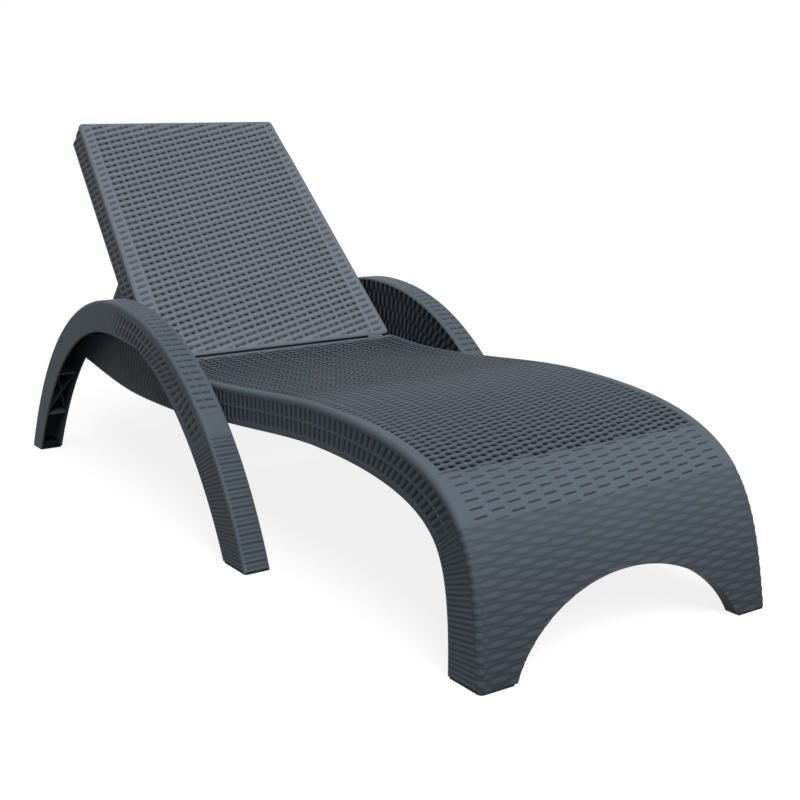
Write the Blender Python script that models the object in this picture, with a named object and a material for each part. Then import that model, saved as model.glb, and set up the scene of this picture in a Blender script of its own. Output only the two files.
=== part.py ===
"""Sun lounger moulded to look like woven rattan, with a back that lifts on a prop.

Lengths are metres and heights are measured from the floor. Distances along the lounger
are measured from the foot end, and STATION moves every piece so that y = 0 is the middle
of the length. Left and right are those of someone who stands at the foot end and looks
towards the head, so right is +X.
"""

import math

import bmesh
import bpy
import numpy as np
from mathutils import Matrix, Vector

# Whole lounger
LENGTH = 1.900
STATION = Vector((0, -LENGTH / 2, 0))
FIT_GAP = 0.0003  # air between pieces that touch in use
EMBED = 0.002  # how far a boss is sunk into its wall, or a cutter stands clear of it
FLATNESS = 1e-6
SINK = 0.0013  # how far a rib enters the inner face of a rounded wall
PAD_PLATE = 0.003
LEG_BASE = PAD_PLATE + FIT_GAP
SIDES = {"left": -1, "right": 1}

# Seat shell: the line of its top face from the foot end to the hinge
FOOT_LEAN = math.radians(7)
FOOT_HANDLE = 0.2534
KNEE_HANDLE = 0.4539
CREST_Y = 0.512
CREST_Z = 0.3668
CREST_HANDLE = 0.150
VALLEY_HANDLE = 0.200
VALLEY_Y = 1.070
VALLEY_Z = 0.331
REAR_HANDLE = 0.045
SEAT_REAR_Y = 1.199
SEAT_REAR_Z = 0.336
HALF_WIDTH_BASE = 0.3312  # at the floor
WIDTH_DRAFT = 0.0505  # the sides close in by this much for each metre of height
SKIRT_DEPTH = 0.077
SKIRT_FOOT_DEPTH = 0.0865
SKIRT_FADE = 0.130  # path length over which the foot's extra depth dies away
SEAT_WALL = 0.005
SEAT_ROUND = 0.009
SEAT_RINGS = 28
SEAT_RIB_THICK = 0.004
SEAT_RIB_DEPTH = 0.034
SEAT_RIB_SHARES = (0.13, 0.27, 0.37, 0.48, 0.59, 0.70, 0.82, 0.93)
SEAT_SPINE_X = (0.105, 0.2085)
SEAT_SPINE_DEPTH = 0.030
SEAT_SPINE_SHARE = 0.27
REAR_WALL_SET = 0.001  # the rear wall stands this far in from the end of the shell
REAR_WALL_LIFT = 0.002

# Arch cut out of the foot end, with a rim turned inwards
ARCH_HALF_WIDTH = 0.2684
ARCH_HEIGHT = 0.200
ARCH_DROP = 0.060  # the arch's centre is below the floor
ARCH_FLANGE = 0.028
ARCH_FLANGE_WALL = 0.0045
ARCH_STEPS = 22
ARCH_CUT_REACH = 0.150
ARCH_LIFT = 0.0005

# Hinge between seat and back
HINGE_Y = 1.2244
HINGE_Z = 0.311
HINGE_TO_BACK = 0.0118  # from the axis to the back's bottom edge
HINGE_TO_FACE = 0.025  # from the axis to the plane of the back's face
KNUCKLE_RADIUS = 0.023
KNUCKLE_X = 0.253
KNUCKLE_WIDTH = 0.040
CHEEK_RADIUS = 0.0113
CHEEK_WIDTH = 0.0057
HINGE_PIN_RADIUS = 0.005
HINGE_PIN_TIP = 0.0015
HINGE_HEAD_RADIUS = 0.0085
HEAD_THICK = 0.003
ROUND_STEPS = 18

# Back: a tapered tray, in its own frame with u along the face and d below it
BACK_ANGLE = math.radians(45.16)
BACK_LENGTH = 0.725
BACK_BASE_HALF = 0.3165
BACK_TOP_HALF = 0.273
BACK_DEPTH = 0.070
BACK_WALL = 0.0045
BACK_CORNER = 0.012
BACK_EDGE = 0.007
BACK_CORNER_STEPS = 3
BACK_RIB_DEPTH = 0.038
BACK_RIB_THICK = 0.0035
BACK_WIDE_RIB_SHARES = (0.1103, 0.2207, 0.8966)
BACK_SHORT_RIB_SHARES = (0.3448, 0.4690, 0.5931, 0.7172, 0.8138)
BACK_SPINE_X = (0.085, 0.248)
BACK_SPINE_DEPTH = 0.0395

# Prop: pivots in the back, and its bar stands on the rack rails
PIVOT_SHARE = 0.3545  # of the back's length
PIVOT_U = PIVOT_SHARE * BACK_LENGTH
PIVOT_D = 0.035
BAR_Y = 1.675
BAR_Z = 0.277
BAR_RADIUS = 0.017
BAR_HALF = 0.262
PROP_HEAD_RADIUS = 0.0295
PROP_LEG_X = 0.2927  # outer face at the pivot
PROP_LEG_FOOT_X = 0.272  # outer face at the bar
PROP_LEG_DEEP = 0.014
PROP_WEB = 0.005
PROP_RIM = 0.004
PROP_CHAMFER = 0.0015
PROP_BOSS_RADIUS = 0.0115
PROP_END_STEPS = 10
BAR_POCKETS = 6
BAR_POCKET_WIDE = 0.018
BAR_POCKET_DEEP = 0.021
BAR_POCKET_RIB = 0.008
PROP_PIN_RADIUS = 0.006
PROP_PIN_SINK = 0.004
PROP_HEAD_PIN_RADIUS = 0.009
PIVOT_BOSS_RADIUS = 0.0125
PIVOT_BOSS_X = 0.2945
BRACKET_X = 0.2705
BRACKET_THICK = 0.0055
BRACKET_ROUND = 0.0155
BRACKET_FOOT = 0.052
PROP_RATIO = -1.8  # turn of the prop for each turn of the back, seen from the back

# Rack rails
BACK_TOP_ANGLE = math.radians(60)
STOP_ANGLES = (math.radians(20), math.radians(33), BACK_ANGLE, math.radians(57))
RAIL_X = 0.185
RAIL_WIDTH = 0.047
RAIL_BASE = 0.225
RAIL_WALL = 0.004
RAIL_FRONT_Y = 1.000
RAIL_REAR_Y = 1.860
RAIL_RUN = 0.0009  # air under the bar
RAIL_PATH_STEPS = 9
NOTCH_DEEP = 0.0055
NOTCH_SPARE = 0.0008
NOTCH_BLOCK = 0.042
NOTCH_BLOCK_DEEP = 0.012
RAIL_RIBS_Y = (1.090, 1.220, 1.290, 1.390, 1.480)
RAIL_RIB_THICK = 0.003
RAIL_RIB_KEEP = 0.002

# Screws that hang the rails from the seat
SCREW_YS = (1.035, 1.150)
SCREW_RADIUS = 0.003
SCREW_LENGTH = 0.024
SCREW_HEAD_RADIUS = 0.007
BOSS_RADIUS = 0.011

# Arms: arched channels whose mouth is on the concave side; shares are of ARM_SPAN
ARM_INNER_X = 0.3225
ARM_OUTER_X = 0.3809
ARM_WALL = 0.0045
ARM_ROUND = 0.008
ARM_FILLET = 0.003
ARM_RINGS = 31
ARM_FRONT_Y = 0.688
ARM_REAR_Y = LENGTH
ARM_SPAN = ARM_REAR_Y - ARM_FRONT_Y
ARM_FRONT_LEAN = math.radians(21.6)
ARM_FRONT_HANDLE = 0.2439
ARM_CROWN_SHARE = 0.5091
ARM_CROWN_Y = ARM_FRONT_Y + ARM_CROWN_SHARE * ARM_SPAN
ARM_CROWN_Z = 0.4633
ARM_CROWN_FRONT_SHARE = 0.2793
ARM_CROWN_REAR_SHARE = 0.1001
ARM_REAR_LEAN = math.radians(24.4)
ARM_REAR_HANDLE = 0.454
ARM_FRONT_LEG = 0.094  # each leg's length along the floor
ARM_REAR_LEG = 0.062
ARM_HOLLOW_FRONT_Y = ARM_FRONT_Y + ARM_FRONT_LEG
ARM_HOLLOW_FRONT_LEAN = math.radians(25.7)
ARM_HOLLOW_FRONT_HANDLE = 0.3185
ARM_HOLLOW_CROWN_SHARE = 0.4143
ARM_HOLLOW_CROWN_Y = ARM_FRONT_Y + ARM_HOLLOW_CROWN_SHARE * ARM_SPAN
ARM_HOLLOW_CROWN_Z = 0.3784
ARM_HOLLOW_CROWN_FRONT_SHARE = 0.0342
ARM_HOLLOW_CROWN_REAR_SHARE = 0.0876
ARM_HOLLOW_REAR_Y = ARM_REAR_Y - ARM_REAR_LEG
ARM_HOLLOW_REAR_LEAN = math.radians(28.2)
ARM_HOLLOW_REAR_HANDLE = 0.5353
WEB_FRONT_SHARE = 0.2450
WEB_FRONT_Y = ARM_FRONT_Y + WEB_FRONT_SHARE * ARM_SPAN
WEB_FRONT_Z = 0.247
WEB_MIDDLE_SHARE = 0.5462
WEB_MIDDLE_Y = ARM_FRONT_Y + WEB_MIDDLE_SHARE * ARM_SPAN
WEB_MIDDLE_Z = 0.237
WEB_REAR_SHARE = 0.7690
WEB_REAR_Y = ARM_FRONT_Y + WEB_REAR_SHARE * ARM_SPAN
WEB_REAR_Z = 0.279
WEB_SEARCH = 0.200
ARM_DIAPHRAGM_SHARES = (0.09, 0.20, 0.36, 0.45, 0.54, 0.66, 0.80, 0.92)
ARM_CROSS_SHARES = ((0.09, 0.20), (0.80, 0.92))
ARM_RIB_THICK = 0.0035
ARM_RIB_KEEP = 0.003
ARM_CROSS_THICK = 0.0027
ARM_CROSS_STEP = 0.0012  # one rib of a cross is shallower than the other

# Outriggers: short box beams from the arms to the rails
OUTRIGGER_SHARE = 0.5050  # of ARM_SPAN
OUTRIGGER_Y = ARM_FRONT_Y + OUTRIGGER_SHARE * ARM_SPAN
OUTRIGGER_LONG = 0.080
OUTRIGGER_TOP = 0.2645
OUTRIGGER_INNER_BASE = 0.231
OUTRIGGER_OUTER_BASE = 0.249
OUTRIGGER_WALL = 0.004

# Tie between the rails
TIE_Y = 1.832
TIE_LONG = 0.026
TIE_TOP = 0.252
TIE_BASE = 0.230
TIE_WALL = 0.0035

# Bolts and nuts
ARM_BOLT_SHARES = (0.1914, 0.2261, 0.2607)  # of ARM_SPAN
ARM_BOLT_YS = tuple(ARM_FRONT_Y + share * ARM_SPAN for share in ARM_BOLT_SHARES)
ARM_BOLT_Z = 0.300
BOLT_RADIUS = 0.003
BOLT_HEAD_RADIUS = 0.0065
BOLT_HEAD_ROUND = 0.0012
BOLT_STEPS = 10
NUT_RADIUS = 0.0065
NUT_THICK = 0.005
BOLT_TIP = 0.0015
ARM_BOSS_RADIUS = 0.0095
DRAFT_SLACK = 0.0006  # room for the slope of the seat's side under a flat bolt head
RAIL_BOLT_Z = 0.241

# Feet pressed into the leg ends
PAD_SET = 0.0007  # the plate stays this far inside the leg's outline
PAD_PLUG = 0.018
PAD_FIT = 0.0006
PAD_RIM = 0.0035
PAD_CORNER = 0.005
PAD_CORNER_STEPS = 2
PAD_CHAMFER = 0.0008
FOOT_PAD_INNER_X = 0.2605
FOOT_PAD_LONG = 0.0835

# Shading
SMOOTH_ANGLE = math.radians(32)
BEND_WEIGHT = 1.6

# Colours, as linear red, green and blue
SLATE = (0.108, 0.127, 0.152)
SLATE_DARK = (0.052, 0.062, 0.076)
RUBBER = (0.012, 0.013, 0.015)
ZINC = (0.52, 0.53, 0.55)


def finish(name, colour, roughness, metallic=0):
    """A plain material with one colour."""
    material = bpy.data.materials.new(name)
    material.use_nodes = True
    shader = material.node_tree.nodes["Principled BSDF"]
    shader.inputs["Base Color"].default_value = (*colour, 1)
    shader.inputs["Roughness"].default_value = roughness
    shader.inputs["Metallic"].default_value = metallic
    return material


def unit(vector):
    return vector / np.linalg.norm(vector)


def bezier(start, first, second, end, steps):
    """Points of a cubic curve."""
    t = np.linspace(0, 1, steps + 1)[:, None]
    start, first, second, end = (np.array(p, float) for p in (start, first, second, end))
    return (
        (1 - t) ** 3 * start
        + 3 * (1 - t) ** 2 * t * first
        + 3 * (1 - t) * t**2 * second
        + t**3 * end
    )


def chain(*pieces):
    """Curves end to end, with each shared end kept once."""
    return np.vstack([pieces[0]] + [piece[1:] for piece in pieces[1:]])


def run(points):
    """Distance travelled along a line at each of its points."""
    steps = np.diff(points, axis=0)
    return np.concatenate(([0], np.cumsum(np.hypot(steps[:, 0], steps[:, 1]))))


def at_shares(points, shares):
    """Points at the given shares of a line's length."""
    travelled = run(points)
    reach = np.asarray(shares) * travelled[-1]
    return np.column_stack([np.interp(reach, travelled, points[:, k]) for k in (0, 1)])


def spaced_shares(points, count):
    """Shares of a line's length that come closer together where it bends."""
    steps = np.diff(points, axis=0)
    lengths = np.hypot(steps[:, 0], steps[:, 1])
    headings = np.unwrap(np.arctan2(steps[:, 1], steps[:, 0]))
    turns = np.abs(np.gradient(headings))
    effort = lengths / lengths.sum() + BEND_WEIGHT * turns / turns.sum()
    reached = np.concatenate(([0], np.cumsum(effort)))
    shares = run(points) / lengths.sum()
    return np.interp(np.linspace(0, reached[-1], count + 1), reached, shares)


def skin(name, loops):
    """A closed object from loops with equal numbers of points, capped at both ends.

    Faces that aren't flat are split into triangles, so that joins and cuts are exact.
    """
    mesh = bmesh.new()
    rows = [[mesh.verts.new(point) for point in loop] for loop in loops]
    count = len(rows[0])
    for one, two in zip(rows, rows[1:]):
        for k in range(count):
            after = (k + 1) % count
            mesh.faces.new((one[k], one[after], two[after], two[k]))
    mesh.faces.new(rows[0])
    mesh.faces.new(reversed(rows[-1]))
    mesh.normal_update()
    bent = [
        face
        for face in mesh.faces
        if max(
            abs((corner.co - face.verts[0].co).dot(face.normal)) for corner in face.verts
        )
        > FLATNESS
    ]
    bmesh.ops.triangulate(mesh, faces=bent)
    bmesh.ops.recalc_face_normals(mesh, faces=mesh.faces)
    data = bpy.data.meshes.new(name)
    mesh.to_mesh(data)
    mesh.free()
    thing = bpy.data.objects.new(name, data)
    bpy.context.collection.objects.link(thing)
    return thing


def box(low, high):
    """A loose block between two corners, for joining or cutting."""
    xs, ys, zs = zip(low, high)
    return skin(
        "block",
        [
            [(x, ys[0], zs[0]), (x, ys[1], zs[0]), (x, ys[1], zs[1]), (x, ys[0], zs[1])]
            for x in xs
        ],
    )


def disc(centre_y, centre_z, radius, x, steps=ROUND_STEPS):
    """A circle of points in a plane across the lounger."""
    turns = np.linspace(0, math.tau, steps, endpoint=False)
    return [
        (x, centre_y + radius * math.cos(turn), centre_z + radius * math.sin(turn))
        for turn in turns
    ]


def rod(centre_y, centre_z, radius, low_x, high_x, steps=ROUND_STEPS):
    """A loose cylinder along X."""
    return skin("rod", [disc(centre_y, centre_z, radius, x, steps) for x in (low_x, high_x)])


def post(centre_x, centre_y, radius, low_z, high_z, steps=BOLT_STEPS):
    """A loose cylinder along Z."""
    turns = np.linspace(0, math.tau, steps, endpoint=False)
    ring = [(radius * math.cos(turn), radius * math.sin(turn)) for turn in turns]
    return skin(
        "post", [[(centre_x + x, centre_y + y, z) for x, y in ring] for z in (low_z, high_z)]
    )


def combine(target, tool, operation):
    """Joins the tool to the target or cuts it out, and removes the tool."""
    step = target.modifiers.new("step", "BOOLEAN")
    step.operation = operation
    step.object = tool
    step.solver = "EXACT"
    graph = bpy.context.evaluated_depsgraph_get()
    result = bpy.data.meshes.new_from_object(target.evaluated_get(graph))
    target.modifiers.clear()
    before, target.data = target.data, result
    bpy.data.meshes.remove(before)
    bpy.data.objects.remove(tool)


def add(target, tool):
    combine(target, tool, "UNION")


def cut(target, tool):
    combine(target, tool, "DIFFERENCE")


def settle(thing, material, place=STATION, turn=0.0):
    """Gives a finished piece its material, its smooth shading and its place."""
    thing.data.materials.clear()
    thing.data.materials.append(material)
    thing.data.shade_smooth()
    thing.data.set_sharp_from_angle(angle=SMOOTH_ANGLE)
    thing.location = place
    thing.rotation_euler = (turn, 0, 0)
    return thing


def hang(child, parent):
    """Parents a piece without moving it."""
    bpy.context.view_layer.update()
    child.parent = parent
    child.matrix_parent_inverse = parent.matrix_world.inverted()


class Channel:
    """Rings along an outer line, each with a direction into the channel and a depth."""

    def __init__(self, outer, directions, depths):
        self.outer = outer
        self.directions = directions
        self.depths = depths
        forward = np.gradient(outer, axis=0)
        self.forward = forward / np.linalg.norm(forward, axis=1)[:, None]
        self.shares = run(outer) / run(outer)[-1]

    def nearest(self, share):
        return int(np.abs(self.shares - share).argmin())

    def point(self, ring, depth, along=0.0):
        return (
            self.outer[ring] + self.directions[ring] * depth + self.forward[ring] * along
        )


def seat_half_width(z):
    return HALF_WIDTH_BASE - WIDTH_DRAFT * z


def seat_channel():
    """The seat's top line and the depth of its side skirts."""
    foot = bezier(
        (0, LEG_BASE),
        (FOOT_HANDLE * math.sin(FOOT_LEAN), LEG_BASE + FOOT_HANDLE * math.cos(FOOT_LEAN)),
        (CREST_Y - KNEE_HANDLE, CREST_Z),
        (CREST_Y, CREST_Z),
        SEAT_RINGS * 8,
    )
    middle = bezier(
        (CREST_Y, CREST_Z),
        (CREST_Y + CREST_HANDLE, CREST_Z),
        (VALLEY_Y - VALLEY_HANDLE, VALLEY_Z),
        (VALLEY_Y, VALLEY_Z),
        SEAT_RINGS * 8,
    )
    rear = bezier(
        (VALLEY_Y, VALLEY_Z),
        (VALLEY_Y + REAR_HANDLE, VALLEY_Z),
        (SEAT_REAR_Y - REAR_HANDLE, SEAT_REAR_Z),
        (SEAT_REAR_Y, SEAT_REAR_Z),
        SEAT_RINGS,
    )
    line = chain(foot, middle, rear)
    outer = at_shares(line, spaced_shares(line, SEAT_RINGS))
    forward = np.gradient(outer, axis=0)
    directions = np.column_stack([forward[:, 1], -forward[:, 0]])
    directions /= np.linalg.norm(directions, axis=1)[:, None]
    directions[0] = (1, 0)
    directions[-1] = (0, -1)
    extra = (SKIRT_FOOT_DEPTH - SKIRT_DEPTH) * np.exp(-run(outer) / SKIRT_FADE)
    return Channel(outer, directions, SKIRT_DEPTH + extra)


def seat_ring(channel, ring):
    """The shell's section: skirt, rounded edge, deck, rounded edge, skirt, and back inside."""
    half_turns = np.linspace(0, math.pi / 2, 4)
    outside = [(0, channel.depths[ring])] + [
        (SEAT_ROUND * (1 - math.cos(turn)), SEAT_ROUND * (1 - math.sin(turn)))
        for turn in half_turns
    ]
    inside = [
        (SEAT_ROUND, SEAT_WALL),
        (SEAT_WALL, SEAT_ROUND),
        (SEAT_WALL, channel.depths[ring]),
    ]

    def place(inset, depth, side):
        y, z = channel.point(ring, depth)
        return (side * (seat_half_width(z) - inset), y, z)

    left = [place(*spot, -1) for spot in outside]
    right = [place(*spot, 1) for spot in reversed(outside)]
    right_in = [place(*spot, 1) for spot in reversed(inside)]
    left_in = [place(*spot, -1) for spot in inside]
    return left + right + right_in + left_in


def cross_rib(channel, ring, thick, depth):
    """A rib across the seat, at right angles to the deck."""
    corners = [
        channel.point(ring, deep, along)
        for deep, along in (
            (SEAT_WALL - SINK, -thick / 2),
            (SEAT_WALL - SINK, thick / 2),
            (depth, thick / 2),
            (depth, -thick / 2),
        )
    ]
    return skin(
        "rib",
        [
            [(side * (seat_half_width(z) - SEAT_WALL + SINK), y, z) for y, z in corners]
            for side in (-1, 1)
        ],
    )


def spine(channel, first, x, thick, depth):
    """A rib along the seat, following the deck half-way between the rings of the shell."""
    loops = []
    stations = [(ring, ring + 1, 0) for ring in range(first, SEAT_RINGS)]
    stations.append((SEAT_RINGS, SEAT_RINGS, -REAR_WALL_SET - SEAT_WALL / 2))
    for one, two, along in stations:
        high, low = (
            (channel.point(one, deep, along) + channel.point(two, deep, along)) / 2
            for deep in (SEAT_WALL - SINK, depth)
        )
        loops.append(
            [
                (x - thick / 2, *high),
                (x + thick / 2, *high),
                (x + thick / 2, *low),
                (x - thick / 2, *low),
            ]
        )
    return skin("spine", loops)


def arch(grow, base, y_of, reach):
    """A prism with the outline of the foot end's arch, grown by a wall's thickness."""
    wide, high = ARCH_HALF_WIDTH + grow, ARCH_HEIGHT + grow
    start = math.asin((base + ARCH_DROP) / high)
    turns = np.linspace(start, math.pi - start, ARCH_STEPS)
    outline = [(wide * math.cos(turn), high * math.sin(turn) - ARCH_DROP) for turn in turns]
    return skin(
        "arch", [[(x, y_of(z) + far, z) for x, z in outline] for far in (0, reach)]
    )


def bracket(x_low, x_high, centre, radius, root, spread):
    """A plate across X with a round end at centre, widening to a root line of two points."""
    y, z = centre
    away = unit(np.array(centre) - np.array(root))
    across = np.array([-away[1], away[0]])
    turns = np.linspace(-math.pi / 2, math.pi / 2, PROP_END_STEPS)
    outline = [
        np.array(centre) + radius * (math.cos(turn) * away + math.sin(turn) * across)
        for turn in turns
    ]
    outline += [np.array(root) + spread * across, np.array(root) - spread * across]
    return skin("bracket", [[(x, *spot) for spot in outline] for x in (x_low, x_high)])


def seat_shell(channel, rails_top, material):
    shell = skin("seat_shell", [seat_ring(channel, ring) for ring in range(SEAT_RINGS + 1)])
    lower = channel.point(SEAT_RINGS, channel.depths[-1])
    wall_y = SEAT_REAR_Y - REAR_WALL_SET
    wall_base = lower[1] + REAR_WALL_LIFT
    wall_top = SEAT_REAR_Z - SEAT_WALL + SINK
    base_half = seat_half_width(wall_base) - SEAT_WALL + SINK
    top_half = seat_half_width(wall_top) - SEAT_WALL + SINK
    add(
        shell,
        skin(
            "wall",
            [
                [
                    (base_half, y, wall_base),
                    (top_half, y, wall_top),
                    (-top_half, y, wall_top),
                    (-base_half, y, wall_base),
                ]
                for y in (wall_y - SEAT_WALL, wall_y)
            ],
        ),
    )
    for share in SEAT_RIB_SHARES:
        ring = channel.nearest(share)
        add(shell, cross_rib(channel, ring, SEAT_RIB_THICK, SEAT_RIB_DEPTH))
    first = channel.nearest(SEAT_SPINE_SHARE) - 1
    for x in SEAT_SPINE_X:
        for side in SIDES.values():
            add(
                shell,
                spine(channel, first, side * x, SEAT_RIB_THICK, SEAT_SPINE_DEPTH),
            )

    def panel_y(z):
        return float(np.interp(z, channel.outer[:, 1], channel.outer[:, 0])) + SEAT_WALL / 2

    flange_base = LEG_BASE + ARCH_LIFT
    add(shell, arch(ARCH_FLANGE_WALL, flange_base, panel_y, ARCH_FLANGE))
    cut(shell, arch(0, -ARCH_LIFT, lambda z: -ARCH_CUT_REACH, 2 * ARCH_CUT_REACH))

    for side in SIDES.values():
        for start in (
            KNUCKLE_X - FIT_GAP - CHEEK_WIDTH,
            KNUCKLE_X + KNUCKLE_WIDTH + FIT_GAP,
        ):
            low, high = sorted((side * start, side * (start + CHEEK_WIDTH)))
            root = (wall_y - SEAT_WALL / 2, HINGE_Z)
            add(
                shell,
                bracket(low, high, (HINGE_Y, HINGE_Z), CHEEK_RADIUS, root, CHEEK_RADIUS),
            )
            cut(
                shell,
                rod(
                    HINGE_Y,
                    HINGE_Z,
                    HINGE_PIN_RADIUS + FIT_GAP,
                    low - EMBED,
                    high + EMBED,
                ),
            )
        for y in SCREW_YS:
            x = side * (RAIL_X + RAIL_WIDTH / 2)
            deck = float(np.interp(y, channel.outer[:, 0], channel.outer[:, 1]))
            base = rails_top + FIT_GAP
            add(shell, post(x, y, BOSS_RADIUS, base, deck - EMBED))
            hole_top = base + SCREW_LENGTH - RAIL_WALL
            cut(shell, post(x, y, SCREW_RADIUS + FIT_GAP, base - EMBED, hole_top))
        for y in ARM_BOLT_YS:
            face = side * seat_half_width(ARM_BOLT_Z)
            low, high = sorted((face - side * (SEAT_WALL + EMBED), face + side * EMBED))
            cut(shell, rod(y, ARM_BOLT_Z, BOLT_RADIUS + FIT_GAP, low, high, BOLT_STEPS))
    return settle(shell, material)


def arm_channel():
    """The arm's outer and hollow lines, and how deep its two side walls are."""
    outer_line = chain(
        bezier(
            (ARM_FRONT_Y, LEG_BASE),
            (
                ARM_FRONT_Y + ARM_FRONT_HANDLE * math.sin(ARM_FRONT_LEAN),
                LEG_BASE + ARM_FRONT_HANDLE * math.cos(ARM_FRONT_LEAN),
            ),
            (ARM_CROWN_Y - ARM_CROWN_FRONT_SHARE * ARM_SPAN, ARM_CROWN_Z),
            (ARM_CROWN_Y, ARM_CROWN_Z),
            ARM_RINGS * 8,
        ),
        bezier(
            (ARM_CROWN_Y, ARM_CROWN_Z),
            (ARM_CROWN_Y + ARM_CROWN_REAR_SHARE * ARM_SPAN, ARM_CROWN_Z),
            (
                ARM_REAR_Y - ARM_REAR_HANDLE * math.sin(ARM_REAR_LEAN),
                LEG_BASE + ARM_REAR_HANDLE * math.cos(ARM_REAR_LEAN),
            ),
            (ARM_REAR_Y, LEG_BASE),
            ARM_RINGS * 8,
        ),
    )
    hollow_front = bezier(
        (ARM_HOLLOW_FRONT_Y, LEG_BASE),
        (
            ARM_HOLLOW_FRONT_Y + ARM_HOLLOW_FRONT_HANDLE * math.sin(ARM_HOLLOW_FRONT_LEAN),
            LEG_BASE + ARM_HOLLOW_FRONT_HANDLE * math.cos(ARM_HOLLOW_FRONT_LEAN),
        ),
        (
            ARM_HOLLOW_CROWN_Y - ARM_HOLLOW_CROWN_FRONT_SHARE * ARM_SPAN,
            ARM_HOLLOW_CROWN_Z,
        ),
        (ARM_HOLLOW_CROWN_Y, ARM_HOLLOW_CROWN_Z),
        ARM_RINGS * 8,
    )
    hollow_rear = bezier(
        (ARM_HOLLOW_CROWN_Y, ARM_HOLLOW_CROWN_Z),
        (ARM_HOLLOW_CROWN_Y + ARM_HOLLOW_CROWN_REAR_SHARE * ARM_SPAN, ARM_HOLLOW_CROWN_Z),
        (
            ARM_HOLLOW_REAR_Y - ARM_HOLLOW_REAR_HANDLE * math.sin(ARM_HOLLOW_REAR_LEAN),
            LEG_BASE + ARM_HOLLOW_REAR_HANDLE * math.cos(ARM_HOLLOW_REAR_LEAN),
        ),
        (ARM_HOLLOW_REAR_Y, LEG_BASE),
        ARM_RINGS * 8,
    )
    hollow_line = chain(hollow_front, hollow_rear)
    crown_share = run(hollow_front)[-1] / run(hollow_line)[-1]
    crown = hollow_front[-1]
    nearest = np.hypot(*(outer_line - crown).T).argmin()
    outer_crown_share = (run(outer_line) / run(outer_line)[-1])[nearest]
    shares = spaced_shares(outer_line, ARM_RINGS)
    outer = at_shares(outer_line, shares)
    hollow = at_shares(
        hollow_line, np.interp(shares, (0, outer_crown_share, 1), (0, crown_share, 1))
    )
    depths = np.hypot(*(hollow - outer).T)
    channel = Channel(outer, (hollow - outer) / depths[:, None], depths)

    web = bezier(
        (WEB_FRONT_Y, WEB_FRONT_Z),
        (WEB_MIDDLE_Y, WEB_MIDDLE_Z),
        (WEB_MIDDLE_Y, WEB_MIDDLE_Z),
        (WEB_REAR_Y, WEB_REAR_Z),
        ARM_RINGS,
    )
    channel.inner_depths = depths.copy()
    for ring in range(1, ARM_RINGS):
        steps = np.linspace(0, WEB_SEARCH, ARM_RINGS * 12)
        spots = hollow[ring] + channel.directions[ring] * steps[:, None]
        over = (spots[:, 0] > WEB_FRONT_Y) & (spots[:, 0] < WEB_REAR_Y)
        below = spots[:, 1] <= np.interp(spots[:, 0], web[:, 0], web[:, 1])
        if over[0] and not below[0]:
            channel.inner_depths[ring] += steps[np.argmax(below)]
    return channel


def arm_ring(channel, ring, side):
    """The arm's section: outer wall, top with two rounded edges, inner wall, and back inside."""
    half_turns = np.linspace(0, math.pi / 2, 4)
    edge = [
        (ARM_ROUND * (1 - math.cos(turn)), ARM_ROUND * (1 - math.sin(turn)))
        for turn in half_turns
    ]
    outside = [(ARM_OUTER_X, channel.depths[ring])]
    outside += [(ARM_OUTER_X - inset, depth) for inset, depth in edge]
    outside += [(ARM_INNER_X + inset, depth) for inset, depth in reversed(edge)]
    outside += [(ARM_INNER_X, channel.inner_depths[ring])]
    inner_x, outer_x = ARM_INNER_X + ARM_WALL, ARM_OUTER_X - ARM_WALL
    inside = [
        (inner_x, channel.inner_depths[ring]),
        (inner_x, ARM_WALL + ARM_FILLET),
        (inner_x + ARM_FILLET, ARM_WALL),
        (outer_x - ARM_FILLET, ARM_WALL),
        (outer_x, ARM_WALL + ARM_FILLET),
        (outer_x, channel.depths[ring]),
    ]
    return [(side * x, *channel.point(ring, depth)) for x, depth in outside + inside]


def arm_diaphragm(channel, ring, side):
    """A wall across the arm's channel."""
    deep = channel.depths[ring] - ARM_RIB_KEEP
    corners = [
        channel.point(ring, depth, along)
        for depth, along in (
            (ARM_WALL - SINK, -ARM_RIB_THICK / 2),
            (ARM_WALL - SINK, ARM_RIB_THICK / 2),
            (deep, ARM_RIB_THICK / 2),
            (deep, -ARM_RIB_THICK / 2),
        )
    ]
    return skin(
        "diaphragm",
        [
            [(side * x, *spot) for spot in corners]
            for x in (ARM_INNER_X + ARM_WALL - SINK, ARM_OUTER_X - ARM_WALL + SINK)
        ],
    )


def arm_diagonal(channel, rings, side, flip):
    """One arm of the cross of ribs between two diaphragms."""
    near_x, far_x = ARM_INNER_X + ARM_WALL - SINK, ARM_OUTER_X - ARM_WALL + SINK
    if flip:
        near_x, far_x = far_x, near_x
    loops = []
    for share in (0, 1):
        loop = []
        for x, ring, along in (
            (near_x, rings[0], -ARM_CROSS_THICK / 2),
            (near_x, rings[0], ARM_CROSS_THICK / 2),
            (far_x, rings[1], ARM_CROSS_THICK / 2),
            (far_x, rings[1], -ARM_CROSS_THICK / 2),
        ):
            deep = channel.depths[ring] - 2 * ARM_RIB_KEEP - flip * ARM_CROSS_STEP
            depth = ARM_WALL - SINK + share * (deep - ARM_WALL + SINK)
            loop.append((side * x, *channel.point(ring, depth, along)))
        loops.append(loop)
    return skin("diagonal", loops)


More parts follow.
